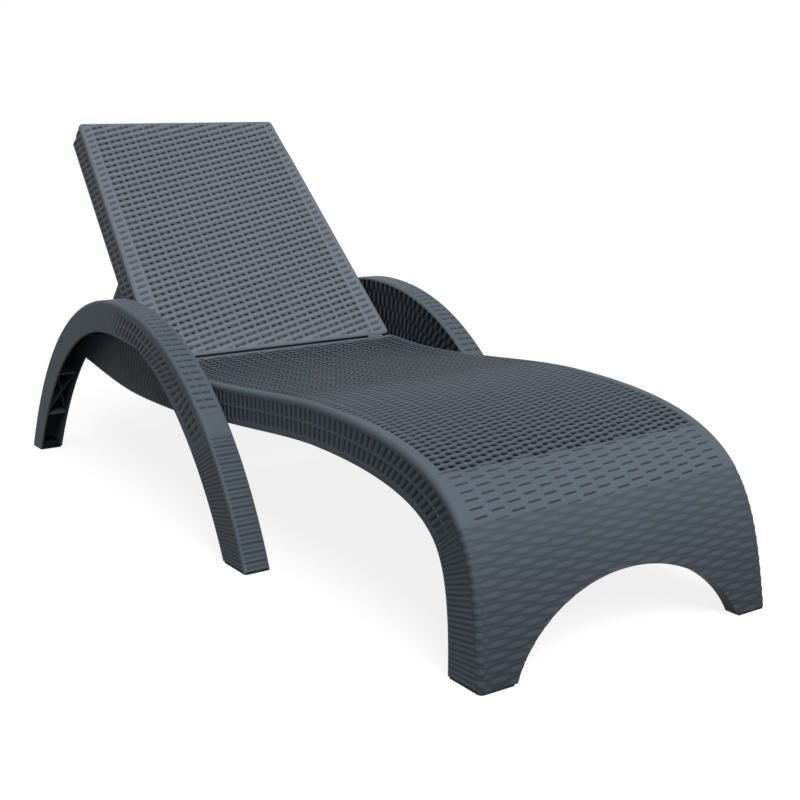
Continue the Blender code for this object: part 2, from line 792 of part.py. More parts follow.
def outrigger(side, grow):
    """The beam's outer form, or with grow its hollow, which is open below."""
    front, rear = OUTRIGGER_Y + grow, OUTRIGGER_Y + OUTRIGGER_LONG - grow
    top = OUTRIGGER_TOP - grow
    near = RAIL_X + RAIL_WIDTH + FIT_GAP + grow
    far = ARM_INNER_X + EMBED - grow
    drop = EMBED if grow else 0
    loops = []
    for x, base in ((near, OUTRIGGER_INNER_BASE - drop), (far, OUTRIGGER_OUTER_BASE - drop)):
        loops.append(
            [
                (side * x, front, base),
                (side * x, rear, base),
                (side * x, rear, top),
                (side * x, front, top),
            ]
        )
    return skin("beam", loops)


def arm(name, side, channel, material):
    frame = skin(name, [arm_ring(channel, ring, side) for ring in range(ARM_RINGS + 1)])
    for share in ARM_DIAPHRAGM_SHARES:
        add(frame, arm_diaphragm(channel, channel.nearest(share), side))
    for pair in ARM_CROSS_SHARES:
        rings = [channel.nearest(share) for share in pair]
        for flip in (False, True):
            add(frame, arm_diagonal(channel, rings, side, flip))
    add(frame, outrigger(side, 0))
    cut(frame, outrigger(side, OUTRIGGER_WALL))
    near = RAIL_X + RAIL_WIDTH
    low, high = sorted((side * near, side * (near + OUTRIGGER_WALL + 2 * EMBED)))
    bolt_y = OUTRIGGER_Y + OUTRIGGER_LONG / 2
    cut(frame, rod(bolt_y, RAIL_BOLT_Z, BOLT_RADIUS + FIT_GAP, low, high, BOLT_STEPS))
    for y in ARM_BOLT_YS:
        seat = seat_half_width(ARM_BOLT_Z) + DRAFT_SLACK
        low, high = sorted((side * seat, side * (ARM_INNER_X + EMBED)))
        add(frame, rod(y, ARM_BOLT_Z, ARM_BOSS_RADIUS, low, high, BOLT_STEPS))
        low, high = sorted((side * (seat - EMBED), side * (ARM_INNER_X + ARM_WALL + EMBED)))
        cut(frame, rod(y, ARM_BOLT_Z, BOLT_RADIUS + FIT_GAP, low, high, BOLT_STEPS))
    return settle(frame, material)


def back_half(u):
    return BACK_BASE_HALF + (BACK_TOP_HALF - BACK_BASE_HALF) * u / BACK_LENGTH


def back_loop(inset, depth):
    """The tray's outline at one depth, moved in by inset, with rounded corners."""
    slope = math.atan2(BACK_BASE_HALF - BACK_TOP_HALF, BACK_LENGTH)
    radius = max(BACK_CORNER - inset, BACK_CORNER / 4)
    loop = []
    corners = (
        (1, inset, -math.pi / 2, slope),
        (1, BACK_LENGTH - inset, slope, math.pi / 2),
        (-1, BACK_LENGTH - inset, math.pi / 2, math.pi - slope),
        (-1, inset, math.pi - slope, math.tau - math.pi / 2),
    )
    for side, u, first, last in corners:
        x = side * (back_half(u) - inset / math.cos(slope))
        up = 1 if u < BACK_LENGTH / 2 else -1
        half_corner = abs(last - first) / 2
        centre_u = u + up * radius
        centre_x = x - side * up * (centre_u - u) * math.tan(slope)
        centre_x -= side * radius / math.cos(slope)
        if half_corner:
            for turn in np.linspace(first, last, BACK_CORNER_STEPS + 1):
                loop.append(
                    (
                        centre_x + radius * math.cos(turn),
                        centre_u + radius * math.sin(turn) + HINGE_TO_BACK,
                        HINGE_TO_FACE - depth,
                    )
                )
    return loop


def back_block(x_low, x_high, u_low, u_high, d_low, d_high):
    """A loose block in the back's own frame, whose origin is on the hinge axis."""
    return box(
        (x_low, u_low + HINGE_TO_BACK, HINGE_TO_FACE - d_high),
        (x_high, u_high + HINGE_TO_BACK, HINGE_TO_FACE - d_low),
    )


def backrest_shell(material):
    levels = [
        (BACK_EDGE * (1 - math.cos(turn)), BACK_EDGE * (1 - math.sin(turn)))
        for turn in np.linspace(math.pi / 2, 0, 4)
    ]
    levels += [(0, BACK_DEPTH), (BACK_WALL, BACK_DEPTH), (BACK_WALL, BACK_WALL)]
    tray = skin("backrest_shell", [back_loop(*level) for level in levels])
    sunk = BACK_WALL - SINK
    for u in (share * BACK_LENGTH for share in BACK_WIDE_RIB_SHARES):
        half = back_half(u) - sunk
        low, high = u - BACK_RIB_THICK / 2, u + BACK_RIB_THICK / 2
        add(tray, back_block(-half, half, low, high, sunk, BACK_RIB_DEPTH))
    spine_half = BACK_SPINE_X[-1] + BACK_RIB_THICK / 2
    for u in (share * BACK_LENGTH for share in BACK_SHORT_RIB_SHARES):
        low, high = u - BACK_RIB_THICK / 2, u + BACK_RIB_THICK / 2
        half = spine_half - BACK_RIB_THICK / 4
        add(tray, back_block(-half, half, low, high, sunk, BACK_RIB_DEPTH))
    for x in BACK_SPINE_X:
        for side in SIDES.values():
            low, high = side * x - BACK_RIB_THICK / 2, side * x + BACK_RIB_THICK / 2
            ends = (sunk, BACK_LENGTH - sunk)
            add(tray, back_block(low, high, *ends, sunk, BACK_SPINE_DEPTH))

    pivot = (PIVOT_U + HINGE_TO_BACK, HINGE_TO_FACE - PIVOT_D)
    root = (pivot[0], HINGE_TO_FACE - EMBED)
    skirt = back_half(PIVOT_U)
    for side in SIDES.values():
        low, high = sorted((side * KNUCKLE_X, side * (KNUCKLE_X + KNUCKLE_WIDTH)))
        knuckle_root = (HINGE_TO_BACK + EMBED, 0)
        add(tray, bracket(low, high, (0, 0), KNUCKLE_RADIUS, knuckle_root, KNUCKLE_RADIUS))
        bore = HINGE_PIN_RADIUS + FIT_GAP
        cut(tray, rod(0, 0, bore, low - EMBED, high + EMBED))

        low, high = sorted((side * BRACKET_X, side * (BRACKET_X + BRACKET_THICK)))
        add(tray, bracket(low, high, pivot, BRACKET_ROUND, root, BRACKET_FOOT / 2))
        boss_end = skirt - EMBED
        low, high = sorted((side * PIVOT_BOSS_X, side * boss_end))
        add(tray, rod(*pivot, PIVOT_BOSS_RADIUS, low, high))
        bottom = PIVOT_BOSS_X + PROP_PIN_SINK
        low, high = sorted((side * (BRACKET_X - EMBED), side * bottom))
        cut(tray, rod(*pivot, PROP_PIN_RADIUS + FIT_GAP, low, high))
    return settle(tray, material, STATION + Vector((0, HINGE_Y, HINGE_Z)), BACK_ANGLE)


def turned(vector, angle):
    y, z = vector
    return np.array(
        (y * math.cos(angle) - z * math.sin(angle), y * math.sin(angle) + z * math.cos(angle))
    )


def pivot_at(angle):
    """Where the prop's pivot is when the back stands at an angle."""
    arm_of_pivot = (PIVOT_U + HINGE_TO_BACK, HINGE_TO_FACE - PIVOT_D)
    return np.array((HINGE_Y, HINGE_Z)) + turned(arm_of_pivot, angle)


PROP_REACH = float(np.linalg.norm(np.array((BAR_Y, BAR_Z)) - pivot_at(BACK_ANGLE)))
PROP_SPAN = np.array((BAR_Y, BAR_Z)) - pivot_at(BACK_ANGLE)
PROP_ANGLE = math.atan2(PROP_SPAN[1], PROP_SPAN[0])


def bar_at(angle):
    """Where the prop's bar is when the back stands at an angle."""
    lean = PROP_ANGLE + (1 + PROP_RATIO) * (angle - BACK_ANGLE)
    return pivot_at(angle) + PROP_REACH * np.array((math.cos(lean), math.sin(lean)))


def prop_outline(inset):
    """The leg's outline in the prop's frame: a large round end, two straights, a small one."""
    head, tip = PROP_HEAD_RADIUS - inset, BAR_RADIUS - inset
    lean = math.asin((head - tip) / PROP_REACH)
    open_turns = math.pi / 2 - lean
    far = np.linspace(-open_turns, open_turns, PROP_END_STEPS)
    near = np.linspace(open_turns, math.tau - open_turns, PROP_END_STEPS)
    outline = [(PROP_REACH + tip * math.cos(turn), tip * math.sin(turn)) for turn in far]
    outline += [(head * math.cos(turn), head * math.sin(turn)) for turn in near]
    return outline


def prop_leg(side, name):
    """A leg with its web outside and its rim turned inwards; it leans in towards the bar."""
    levels = (
        (PROP_CHAMFER, 0),
        (0, PROP_CHAMFER),
        (0, PROP_LEG_DEEP),
        (PROP_RIM, PROP_LEG_DEEP),
        (PROP_RIM, PROP_WEB),
    )
    loops = []
    for inset, deep in levels:
        loop = []
        for y, z in prop_outline(inset):
            lean = (PROP_LEG_FOOT_X - PROP_LEG_X) * y / PROP_REACH
            loop.append((side * (PROP_LEG_X + lean - deep), y, z))
        loops.append(loop)
    return skin(name, loops)


def prop_frame(material):
    prop = rod(PROP_REACH, 0, BAR_RADIUS - EMBED / 2, -BAR_HALF, BAR_HALF)
    prop.name = "prop_frame"
    pocket_long = (2 * BAR_HALF - 2 * PROP_LEG_DEEP) / BAR_POCKETS - BAR_POCKET_RIB
    first = -BAR_HALF + PROP_LEG_DEEP + BAR_POCKET_RIB / 2
    for count in range(BAR_POCKETS):
        low = first + count * (pocket_long + BAR_POCKET_RIB)
        block = box(
            (low, -BAR_POCKET_WIDE / 2, BAR_RADIUS - BAR_POCKET_DEEP),
            (low + pocket_long, BAR_POCKET_WIDE / 2, 2 * BAR_RADIUS),
        )
        block.data.transform(Matrix.Rotation(-PROP_ANGLE, 4, "X"))
        block.data.transform(Matrix.Translation((0, PROP_REACH, 0)))
        cut(prop, block)
    for side in SIDES.values():
        add(prop, prop_leg(side, "leg"))
        inner = PROP_LEG_X - PROP_LEG_DEEP
        low, high = sorted((side * inner, side * (PROP_LEG_X - EMBED)))
        add(prop, rod(0, 0, PROP_BOSS_RADIUS, low, high))
        low, high = sorted((side * (inner - EMBED), side * (PROP_LEG_X + EMBED)))
        cut(prop, rod(0, 0, PROP_PIN_RADIUS + FIT_GAP, low, high))
    pivot = pivot_at(BACK_ANGLE)
    return settle(prop, material, STATION + Vector((0, *pivot)), PROP_ANGLE)


def rail_top_line():
    """The rail's top, a little below the path of the prop's bar."""
    path = [
        bar_at(angle) for angle in np.linspace(BACK_TOP_ANGLE, 0, RAIL_PATH_STEPS)
    ]
    drop = BAR_RADIUS + RAIL_RUN
    line = [(y, z - drop) for y, z in path]
    return [(RAIL_FRONT_Y, line[0][1])] + line + [(RAIL_REAR_Y, line[-1][1])]


def rail_section(y, top, grow=0.0, drop=0.0):
    low, high = RAIL_X + grow, RAIL_X + RAIL_WIDTH - grow
    base = RAIL_BASE - drop
    return [(low, y, base), (high, y, base), (high, y, top - grow), (low, y, top - grow)]


def rail(name, side, material):
    top = rail_top_line()
    body = skin(name, [rail_section(y, z) for y, z in top])
    hollow = [(RAIL_FRONT_Y + RAIL_WALL, top[0][1])] + top[1:-1]
    hollow.append((RAIL_REAR_Y - RAIL_WALL, top[-1][1]))
    cut(body, skin("hollow", [rail_section(y, z, RAIL_WALL, EMBED) for y, z in hollow]))
    low, high = RAIL_X + EMBED, RAIL_X + RAIL_WIDTH - EMBED
    stops = [bar_at(angle) for angle in STOP_ANGLES]
    for y, z in stops:
        block_top = z - BAR_RADIUS - RAIL_RUN - EMBED
        add(
            body,
            box(
                (low, y - NOTCH_BLOCK / 2, block_top - NOTCH_BLOCK_DEEP),
                (high, y + NOTCH_BLOCK / 2, block_top),
            ),
        )
    for y in RAIL_RIBS_Y:
        height = float(np.interp(y, [p[0] for p in top], [p[1] for p in top]))
        add(
            body,
            box(
                (low, y - RAIL_RIB_THICK / 2, RAIL_BASE + RAIL_RIB_KEEP),
                (high, y + RAIL_RIB_THICK / 2, height - EMBED),
            ),
        )
    for y, z in stops:
        notch = BAR_RADIUS + NOTCH_SPARE
        centre = z - BAR_RADIUS - RAIL_RUN + notch - NOTCH_DEEP
        cut(body, rod(y, centre, notch, RAIL_X - EMBED, RAIL_X + RAIL_WIDTH + EMBED))
    middle = RAIL_X + RAIL_WIDTH / 2
    for y in SCREW_YS:
        ceiling = top[0][1] - RAIL_WALL - EMBED
        cut(body, post(middle, y, SCREW_RADIUS + FIT_GAP, ceiling, top[0][1] + EMBED))
    hole = BOLT_RADIUS + FIT_GAP
    outer = (RAIL_X + RAIL_WIDTH - RAIL_WALL - EMBED, RAIL_X + RAIL_WIDTH + EMBED)
    cut(body, rod(OUTRIGGER_Y + OUTRIGGER_LONG / 2, RAIL_BOLT_Z, hole, *outer, BOLT_STEPS))
    inner = (RAIL_X - EMBED, RAIL_X + RAIL_WALL + EMBED)
    cut(body, rod(TIE_Y + TIE_LONG / 2, RAIL_BOLT_Z, hole, *inner, BOLT_STEPS))
    if side < 0:
        body.data.transform(Matrix.Scale(-1, 4, (1, 0, 0)))
        body.data.flip_normals()
    return settle(body, material)


def rail_tie(material):
    half = RAIL_X - FIT_GAP
    tie = box((-half, TIE_Y, TIE_BASE), (half, TIE_Y + TIE_LONG, TIE_TOP))
    tie.name = "rail_tie"
    hollow = half - TIE_WALL - EMBED
    cut(
        tie,
        box(
            (-hollow, TIE_Y + TIE_WALL, TIE_BASE - EMBED),
            (hollow, TIE_Y + TIE_LONG - TIE_WALL, TIE_TOP - TIE_WALL),
        ),
    )
    for side in SIDES.values():
        low, high = sorted((side * (hollow - EMBED), side * (half + EMBED)))
        hole = BOLT_RADIUS + FIT_GAP
        cut(tie, rod(TIE_Y + TIE_LONG / 2, RAIL_BOLT_Z, hole, low, high, BOLT_STEPS))
    return settle(tie, material)


def fastener(name, spot, way, radius, head_radius, head, shank, material, steps=BOLT_STEPS):
    """A headed pin or bolt: spot is under its head and way points along the shank."""
    profile = (
        (head_radius - BOLT_HEAD_ROUND, -head),
        (head_radius, BOLT_HEAD_ROUND - head),
        (head_radius, 0),
        (radius, 0),
        (radius, shank - BOLT_HEAD_ROUND),
        (radius - BOLT_HEAD_ROUND, shank),
    )
    way = Vector(way)
    turn = Vector((0, 0, 1)).rotation_difference(way).to_matrix().to_4x4()
    turns = np.linspace(0, math.tau, steps, endpoint=False)
    loops = [
        [(r * math.cos(turn_), r * math.sin(turn_), height) for turn_ in turns]
        for r, height in profile
    ]
    thing = skin(name, loops)
    thing.data.transform(turn)
    thing.data.transform(Matrix.Translation(spot))
    return settle(thing, material)


def nut(name, spot, way, material):
    """A hexagon nut whose near face is at spot."""
    turns = np.linspace(0, math.tau, 6, endpoint=False)
    hexagon = [(NUT_RADIUS * math.cos(turn), NUT_RADIUS * math.sin(turn)) for turn in turns]
    thing = skin(name, [[(x, y, z) for x, y in hexagon] for z in (0, NUT_THICK)])
    bore = post(0, 0, BOLT_RADIUS + FIT_GAP, -EMBED, NUT_THICK + EMBED)
    cut(thing, bore)
    turn = Vector((0, 0, 1)).rotation_difference(Vector(way)).to_matrix().to_4x4()
    thing.data.transform(turn)
    thing.data.transform(Matrix.Translation(spot))
    return settle(thing, material)


def pad_loop(low, high, inset, z, lean):
    """A rectangle with rounded corners, moved along by the leg's lean."""
    radius = PAD_CORNER
    shift = lean * max(z - LEG_BASE, 0)
    spots = (
        (high[0] - inset - radius, low[1] + inset + radius, -math.pi / 2),
        (high[0] - inset - radius, high[1] - inset - radius, 0),
        (low[0] + inset + radius, high[1] - inset - radius, math.pi / 2),
        (low[0] + inset + radius, low[1] + inset + radius, math.pi),
    )
    return [
        (x + radius * math.cos(turn), y + shift + radius * math.sin(turn), z)
        for x, y, start in spots
        for turn in np.linspace(start, start + math.pi / 2, PAD_CORNER_STEPS + 1)
    ]


def foot_pad(name, side, low, high, lean, wall, material):
    """A plate under the leg with a hollow plug pressed into the leg's end."""
    plug = wall + PAD_FIT
    top = LEG_BASE + PAD_PLUG
    loops = [
        pad_loop(low, high, PAD_CHAMFER, 0, lean),
        pad_loop(low, high, 0, PAD_CHAMFER, lean),
        pad_loop(low, high, 0, PAD_PLATE, lean),
        pad_loop(low, high, plug, PAD_PLATE, lean),
        pad_loop(low, high, plug + PAD_FIT, top, lean),
        pad_loop(low, high, plug + PAD_FIT + PAD_RIM, top, lean),
        pad_loop(low, high, plug + PAD_FIT + PAD_RIM, PAD_PLATE, lean),
    ]
    pad = skin(name, [[(side * x, y, z) for x, y, z in loop] for loop in loops])
    return settle(pad, material)


def main():
    for thing in list(bpy.data.objects):
        bpy.data.objects.remove(thing)

    seat_line = seat_channel()
    arm_line = arm_channel()
    rails_top = rail_top_line()[0][1]
    seat = seat_shell(seat_line, rails_top, finish("seat", SLATE, 0.55))
    back = backrest_shell(finish("back", SLATE, 0.55))
    prop = prop_frame(finish("prop", SLATE_DARK, 0.6))
    tie = rail_tie(finish("tie", SLATE_DARK, 0.6))
    hang(back, seat)
    hang(prop, back)
    hang(tie, seat)

    hinge = (HINGE_Y, HINGE_Z)
    pivot = pivot_at(BACK_ANGLE)
    for word, side in SIDES.items():
        pieces = [
            arm(f"arm_{word}", side, arm_line, finish(f"arm {word}", SLATE, 0.55)),
            rail(f"rail_{word}", side, finish(f"rail {word}", SLATE_DARK, 0.6)),
        ]
        cheeks_end = KNUCKLE_X + KNUCKLE_WIDTH + FIT_GAP + CHEEK_WIDTH + FIT_GAP
        pin_long = KNUCKLE_WIDTH + 2 * (CHEEK_WIDTH + FIT_GAP) + FIT_GAP + HINGE_PIN_TIP
        pieces.append(
            fastener(
                f"hinge_pin_{word}",
                (side * cheeks_end, *hinge),
                (-side, 0, 0),
                HINGE_PIN_RADIUS,
                HINGE_HEAD_RADIUS,
                HEAD_THICK,
                pin_long,
                finish(f"hinge pin {word}", ZINC, 0.35, 1),
            )
        )
        under_head = BRACKET_X - FIT_GAP
        prop_pin = fastener(
            f"prop_pin_{word}",
            (side * under_head, *pivot),
            (side, 0, 0),
            PROP_PIN_RADIUS,
            PROP_HEAD_PIN_RADIUS,
            HEAD_THICK,
            PIVOT_BOSS_X + PROP_PIN_SINK - FIT_GAP - under_head,
            finish(f"prop pin {word}", ZINC, 0.35, 1),
        )
        hang(prop_pin, back)

        skirt = seat_half_width(ARM_BOLT_Z) - SEAT_WALL - DRAFT_SLACK
        wall_end = ARM_INNER_X + ARM_WALL + FIT_GAP
        for count, y in enumerate(ARM_BOLT_YS, 1):
            pieces.append(
                fastener(
                    f"arm_bolt_{word}_{count}",
                    (side * skirt, y, ARM_BOLT_Z),
                    (side, 0, 0),
                    BOLT_RADIUS,
                    BOLT_HEAD_RADIUS,
                    HEAD_THICK,
                    wall_end + NUT_THICK + BOLT_TIP - skirt,
                    finish(f"arm bolt {word} {count}", ZINC, 0.35, 1),
                )
            )
            pieces.append(
                nut(
                    f"arm_nut_{word}_{count}",
                    (side * wall_end, y, ARM_BOLT_Z),
                    (side, 0, 0),
                    finish(f"arm nut {word} {count}", ZINC, 0.35, 1),
                )
            )

        middle = side * (RAIL_X + RAIL_WIDTH / 2)
        for count, y in enumerate(SCREW_YS, 1):
            pieces.append(
                fastener(
                    f"rail_screw_{word}_{count}",
                    (middle, y, rails_top - RAIL_WALL - FIT_GAP),
                    (0, 0, 1),
                    SCREW_RADIUS,
                    SCREW_HEAD_RADIUS,
                    HEAD_THICK,
                    SCREW_LENGTH,
                    finish(f"rail screw {word} {count}", ZINC, 0.35, 1),
                )
            )

        outer_wall = RAIL_X + RAIL_WIDTH - RAIL_WALL - FIT_GAP
        beam_end = RAIL_X + RAIL_WIDTH + OUTRIGGER_WALL + 2 * FIT_GAP
        beam_y = OUTRIGGER_Y + OUTRIGGER_LONG / 2
        inner_wall = RAIL_X + RAIL_WALL + FIT_GAP
        tie_end = RAIL_X - FIT_GAP - TIE_WALL - EMBED - FIT_GAP
        tie_y = TIE_Y + TIE_LONG / 2
        for kind, y, start, end, way in (
            ("outrigger", beam_y, outer_wall, beam_end, side),
            ("tie", tie_y, inner_wall, tie_end, -side),
        ):
            pieces.append(
                fastener(
                    f"{kind}_bolt_{word}",
                    (side * start, y, RAIL_BOLT_Z),
                    (way, 0, 0),
                    BOLT_RADIUS,
                    BOLT_HEAD_RADIUS,
                    HEAD_THICK,
                    abs(end - start) + NUT_THICK + BOLT_TIP,
                    finish(f"{kind} bolt {word}", ZINC, 0.35, 1),
                )
            )
            pieces.append(
                nut(
                    f"{kind}_nut_{word}",
                    (side * end, y, RAIL_BOLT_Z),
                    (way, 0, 0),
                    finish(f"{kind} nut {word}", ZINC, 0.35, 1),
                )
            )

        arm_low, arm_high = ARM_INNER_X + PAD_SET, ARM_OUTER_X - PAD_SET
        foot_outer = seat_half_width(LEG_BASE) - PAD_SET
        for place, low, high, lean, wall in (
            (
                "foot",
                (FOOT_PAD_INNER_X - PAD_SET, PAD_SET),
                (foot_outer, FOOT_PAD_LONG),
                math.tan(FOOT_LEAN),
                SEAT_WALL,
            ),
            (
                "arm_front",
                (arm_low, ARM_FRONT_Y + PAD_SET),
                (arm_high, ARM_HOLLOW_FRONT_Y - PAD_SET),
                math.tan(ARM_FRONT_LEAN),
                ARM_WALL,
            ),
            (
                "arm_rear",
                (arm_low, ARM_HOLLOW_REAR_Y + PAD_SET),
                (arm_high, ARM_REAR_Y - PAD_SET),
                -math.tan(ARM_REAR_LEAN),
                ARM_WALL,
            ),
        ):
            pieces.append(
                foot_pad(
                    f"{place}_pad_{word}",
                    side,
                    low,
                    high,
                    lean,
                    wall,
                    finish(f"{place} pad {word}", RUBBER, 0.8),
                )
            )
        for piece in pieces:
            hang(piece, seat)


main()
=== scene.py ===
# %% [markdown]
# # A sun lounger moulded to look woven
#
# The real object is a stack of resin mouldings: two arched arms, one long seat shell that
# bends down to the floor, and a back that lifts on a prop. Its looks come almost wholly from
# the relief of the moulding: bands that seem to go over and under slim ribs, with small
# holes between them. So this lesson is mostly about turning a formula for such a relief into
# a surface, and about reading a curved shell by its length, its width and its depth.
#
# The imported CAD model is loaded first. It gives the bodies that move and the pieces that
# stay as they are.

import math

import bmesh
import bpy
import numpy as np
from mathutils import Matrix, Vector


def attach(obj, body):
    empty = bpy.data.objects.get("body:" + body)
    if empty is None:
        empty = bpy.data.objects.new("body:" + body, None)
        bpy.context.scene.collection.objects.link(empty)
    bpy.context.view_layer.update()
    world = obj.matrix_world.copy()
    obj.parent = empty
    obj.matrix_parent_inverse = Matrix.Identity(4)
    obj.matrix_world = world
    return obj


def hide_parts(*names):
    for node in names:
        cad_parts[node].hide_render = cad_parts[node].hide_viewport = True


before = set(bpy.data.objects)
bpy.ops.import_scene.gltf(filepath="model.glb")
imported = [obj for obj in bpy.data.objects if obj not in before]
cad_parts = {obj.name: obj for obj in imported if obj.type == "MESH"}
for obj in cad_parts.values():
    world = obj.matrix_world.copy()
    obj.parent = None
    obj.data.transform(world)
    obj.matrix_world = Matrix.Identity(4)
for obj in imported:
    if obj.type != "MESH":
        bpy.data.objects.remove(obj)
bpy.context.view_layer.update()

# %% [markdown]
# ## Where things are
#
# Lengths are metres. Along the lounger they are counted from the foot end, because a
# moulding is drawn that way, and the middle of the length is taken off only when a mesh is
# made. The numbers repeat the ones that the CAD shells were lofted from, so that every
# surface here lies on the shell that it stands for.

# %% Shared sizes
MIDDLE = 0.950
LEG_BASE = 0.0033  # the walls of the legs end here, over the pads
HINGE = np.array((1.2244, 0.311))
HINGE_BELOW, HINGE_BEHIND = 0.0118, 0.025  # from the back's bottom edge and from its face
BACK_ANGLE = math.radians(45.16)
SIDES = {"left": -1, "right": 1}
TUCK = 0.0004  # how far a rib reaches into the wall that carries it

# %% [markdown]
# ## Reading a curve by its length
#
# A deck line or an arm line is a chain of cubic curves. The weave is spaced by distance
# travelled, so each line is stored with its running length, and with a direction that points
# into the moulding. A point of the shell is then: the line at that length, moved into the
# moulding by a depth. Blender's curve objects could carry a profile too, but they don't let a
# relief depend on where along the line it is.


# %% Curves and tracks
def bezier(*corners, steps=500):
    """Cubic curve: its four points weighted by (1-t)^3, 3t(1-t)^2, 3t^2(1-t) and t^3."""
    t = np.linspace(0, 1, steps)[:, None]
    a, b, c, d = (np.array(corner, float) for corner in corners)
    return (1 - t) ** 3 * a + 3 * t * (1 - t) ** 2 * b + 3 * t**2 * (1 - t) * c + t**3 * d


def moved(point, step):
    """The point moved level, along the lounger."""
    return (point[0] + step, point[1])


def polar(start, length, lean):
    """The point at a distance from start, upwards, leaning towards the head by an angle."""
    return (start[0] + length * math.sin(lean), start[1] + length * math.cos(lean))


def rays(turns):
    """Unit vectors at these angles."""
    return np.column_stack([np.cos(turns), np.sin(turns)])


def rectangle(low, high, near, far):
    """The corners of a rectangle, in turn."""
    return ((low, near), (high, near), (high, far), (low, far))


def running(points):
    """Distance travelled: the sum of the steps so far."""
    return np.concatenate(([0], np.cumsum(np.hypot(*np.diff(points, axis=0).T))))


class Track:
    """A line in the side view, read by its length, with a direction into the moulding."""

    def __init__(self, points, into=None):
        self.points = points[np.concatenate(([True], np.diff(running(points)) > 1e-9))]
        self.run = running(self.points)
        self.length = self.run[-1]
        if into is None:
            ahead = np.gradient(self.points, self.run, axis=0)
            into = np.column_stack([ahead[:, 1], -ahead[:, 0]])
        self.into = into / np.linalg.norm(into, axis=1)[:, None]

    def at(self, s, depth):
        """line(s) + depth * into(s), as y and z."""
        y = np.interp(s, self.run, self.points[:, 0])
        z = np.interp(s, self.run, self.points[:, 1])
        y = y + depth * np.interp(s, self.run, self.into[:, 0])
        z = z + depth * np.interp(s, self.run, self.into[:, 1])
        return y, z


# %% [markdown]
# ## From grids of points to meshes
#
# Three kinds of surface do for everything. A *skin* is a stack of closed loops with a cap at
# each end, for rims, ribs and channels. A *slab* is a sheet with a top, a bottom and edges,
# for solid panels. A *ring plate* is a plate with a round hole, for knuckles and bosses. All
# are whole arrays of points, and the faces are index arithmetic on them. The finished mesh
# merges its doubles, turns its faces outwards, and shades smoothly up to an angle.


# %% Faces between points
def grid_faces(rows, columns, wrap=False):
    """Corners of the quads between neighbouring rows and columns of a grid."""
    index = np.arange(rows * columns).reshape(rows, columns)
    if wrap:
        index = np.column_stack([index, index[:, 0]])
    a, b = index[:-1, :-1].ravel(), index[:-1, 1:].ravel()
    c, d = index[1:, 1:].ravel(), index[1:, :-1].ravel()
    return np.column_stack([a, b, c, d])


def edge_faces(rows, columns):
    """Quads that join the edge of a grid to the edge of a second grid of the same size."""
    index = np.arange(rows * columns).reshape(rows, columns)
    edge = np.concatenate([index[0, :-1], index[:-1, -1], index[-1, :0:-1], index[:0:-1, 0]])
    after, below = np.roll(edge, -1), index.size
    return np.column_stack([after, edge, edge + below, after + below])


def skin(loops):
    """Closed loops joined in turn, with a cap on the first and the last."""
    rows, columns = loops.shape[:2]
    faces = grid_faces(rows, columns, wrap=True).tolist()
    last = (rows - 1) * columns
    faces += [list(range(columns)), list(range(last + columns - 1, last - 1, -1))]
    return loops.reshape(-1, 3), faces


def hoop(loops):
    """Closed loops joined in turn, and the last one to the first."""
    index = np.arange(loops.shape[0] * loops.shape[1]).reshape(loops.shape[:2])
    right, down = np.roll(index, -1, axis=1), np.roll(index, -1, axis=0)
    faces = np.stack([index, right, np.roll(down, -1, axis=1), down], axis=-1)
    return loops.reshape(-1, 3), faces.reshape(-1, 4).tolist()


def bar(section, low, high, axis=0):
    """A section drawn out along an axis: across the lounger, or upwards with axis 2."""
    section = np.asarray(section, float)
    return skin(np.array([np.insert(section, axis, place, axis=1) for place in (low, high)]))


def slab(top, bottom):
    """A sheet with thickness: two grids, and a strip round their common edge."""
    quads = grid_faces(*top.shape[:2])
    below = top.shape[0] * top.shape[1]
    faces = np.vstack([quads, quads[:, ::-1] + below, edge_faces(*top.shape[:2])])
    return np.vstack([top.reshape(-1, 3), bottom.reshape(-1, 3)]), faces.tolist()


def ring_plate(outline, centre, radius, low, high, steps=48):
    """A plate across X with a round hole, from the hole's centre outwards.

    The outline's corners are turned into angle and distance, and read at even angles.
    """
    turns = np.linspace(0, math.tau, steps, endpoint=False)
    corners = np.vstack([outline, outline[:1]])
    walk = running(corners)
    fine = np.linspace(0, walk[-1], 40 * steps)
    edge = np.column_stack([np.interp(fine, walk, corners[:, k]) for k in (0, 1)]) - centre
    angle = np.arctan2(edge[:, 1], edge[:, 0])
    order = np.argsort(angle)
    reach = np.interp(turns, angle[order], np.hypot(*edge.T)[order], period=math.tau)
    inner, outer = centre + radius * rays(turns), centre + reach[:, None] * rays(turns)
    loops = rectangle(inner, outer, low, high)
    return hoop(np.array([np.insert(spots, 0, x, axis=1) for spots, x in loops]))


def gather(parts):
    """Several sets of points and faces as one."""
    points, faces, start = [], [], 0
    for spots, quads in parts:
        points.append(spots)
        faces += [[corner + start for corner in quad] for quad in quads]
        start += len(spots)
    return np.vstack(points), faces


def add_object(name, data):
    """An object for a mesh, a lamp or a camera, at the origin."""
    thing = bpy.data.objects.new(name, data)
    bpy.context.collection.objects.link(thing)
    return thing


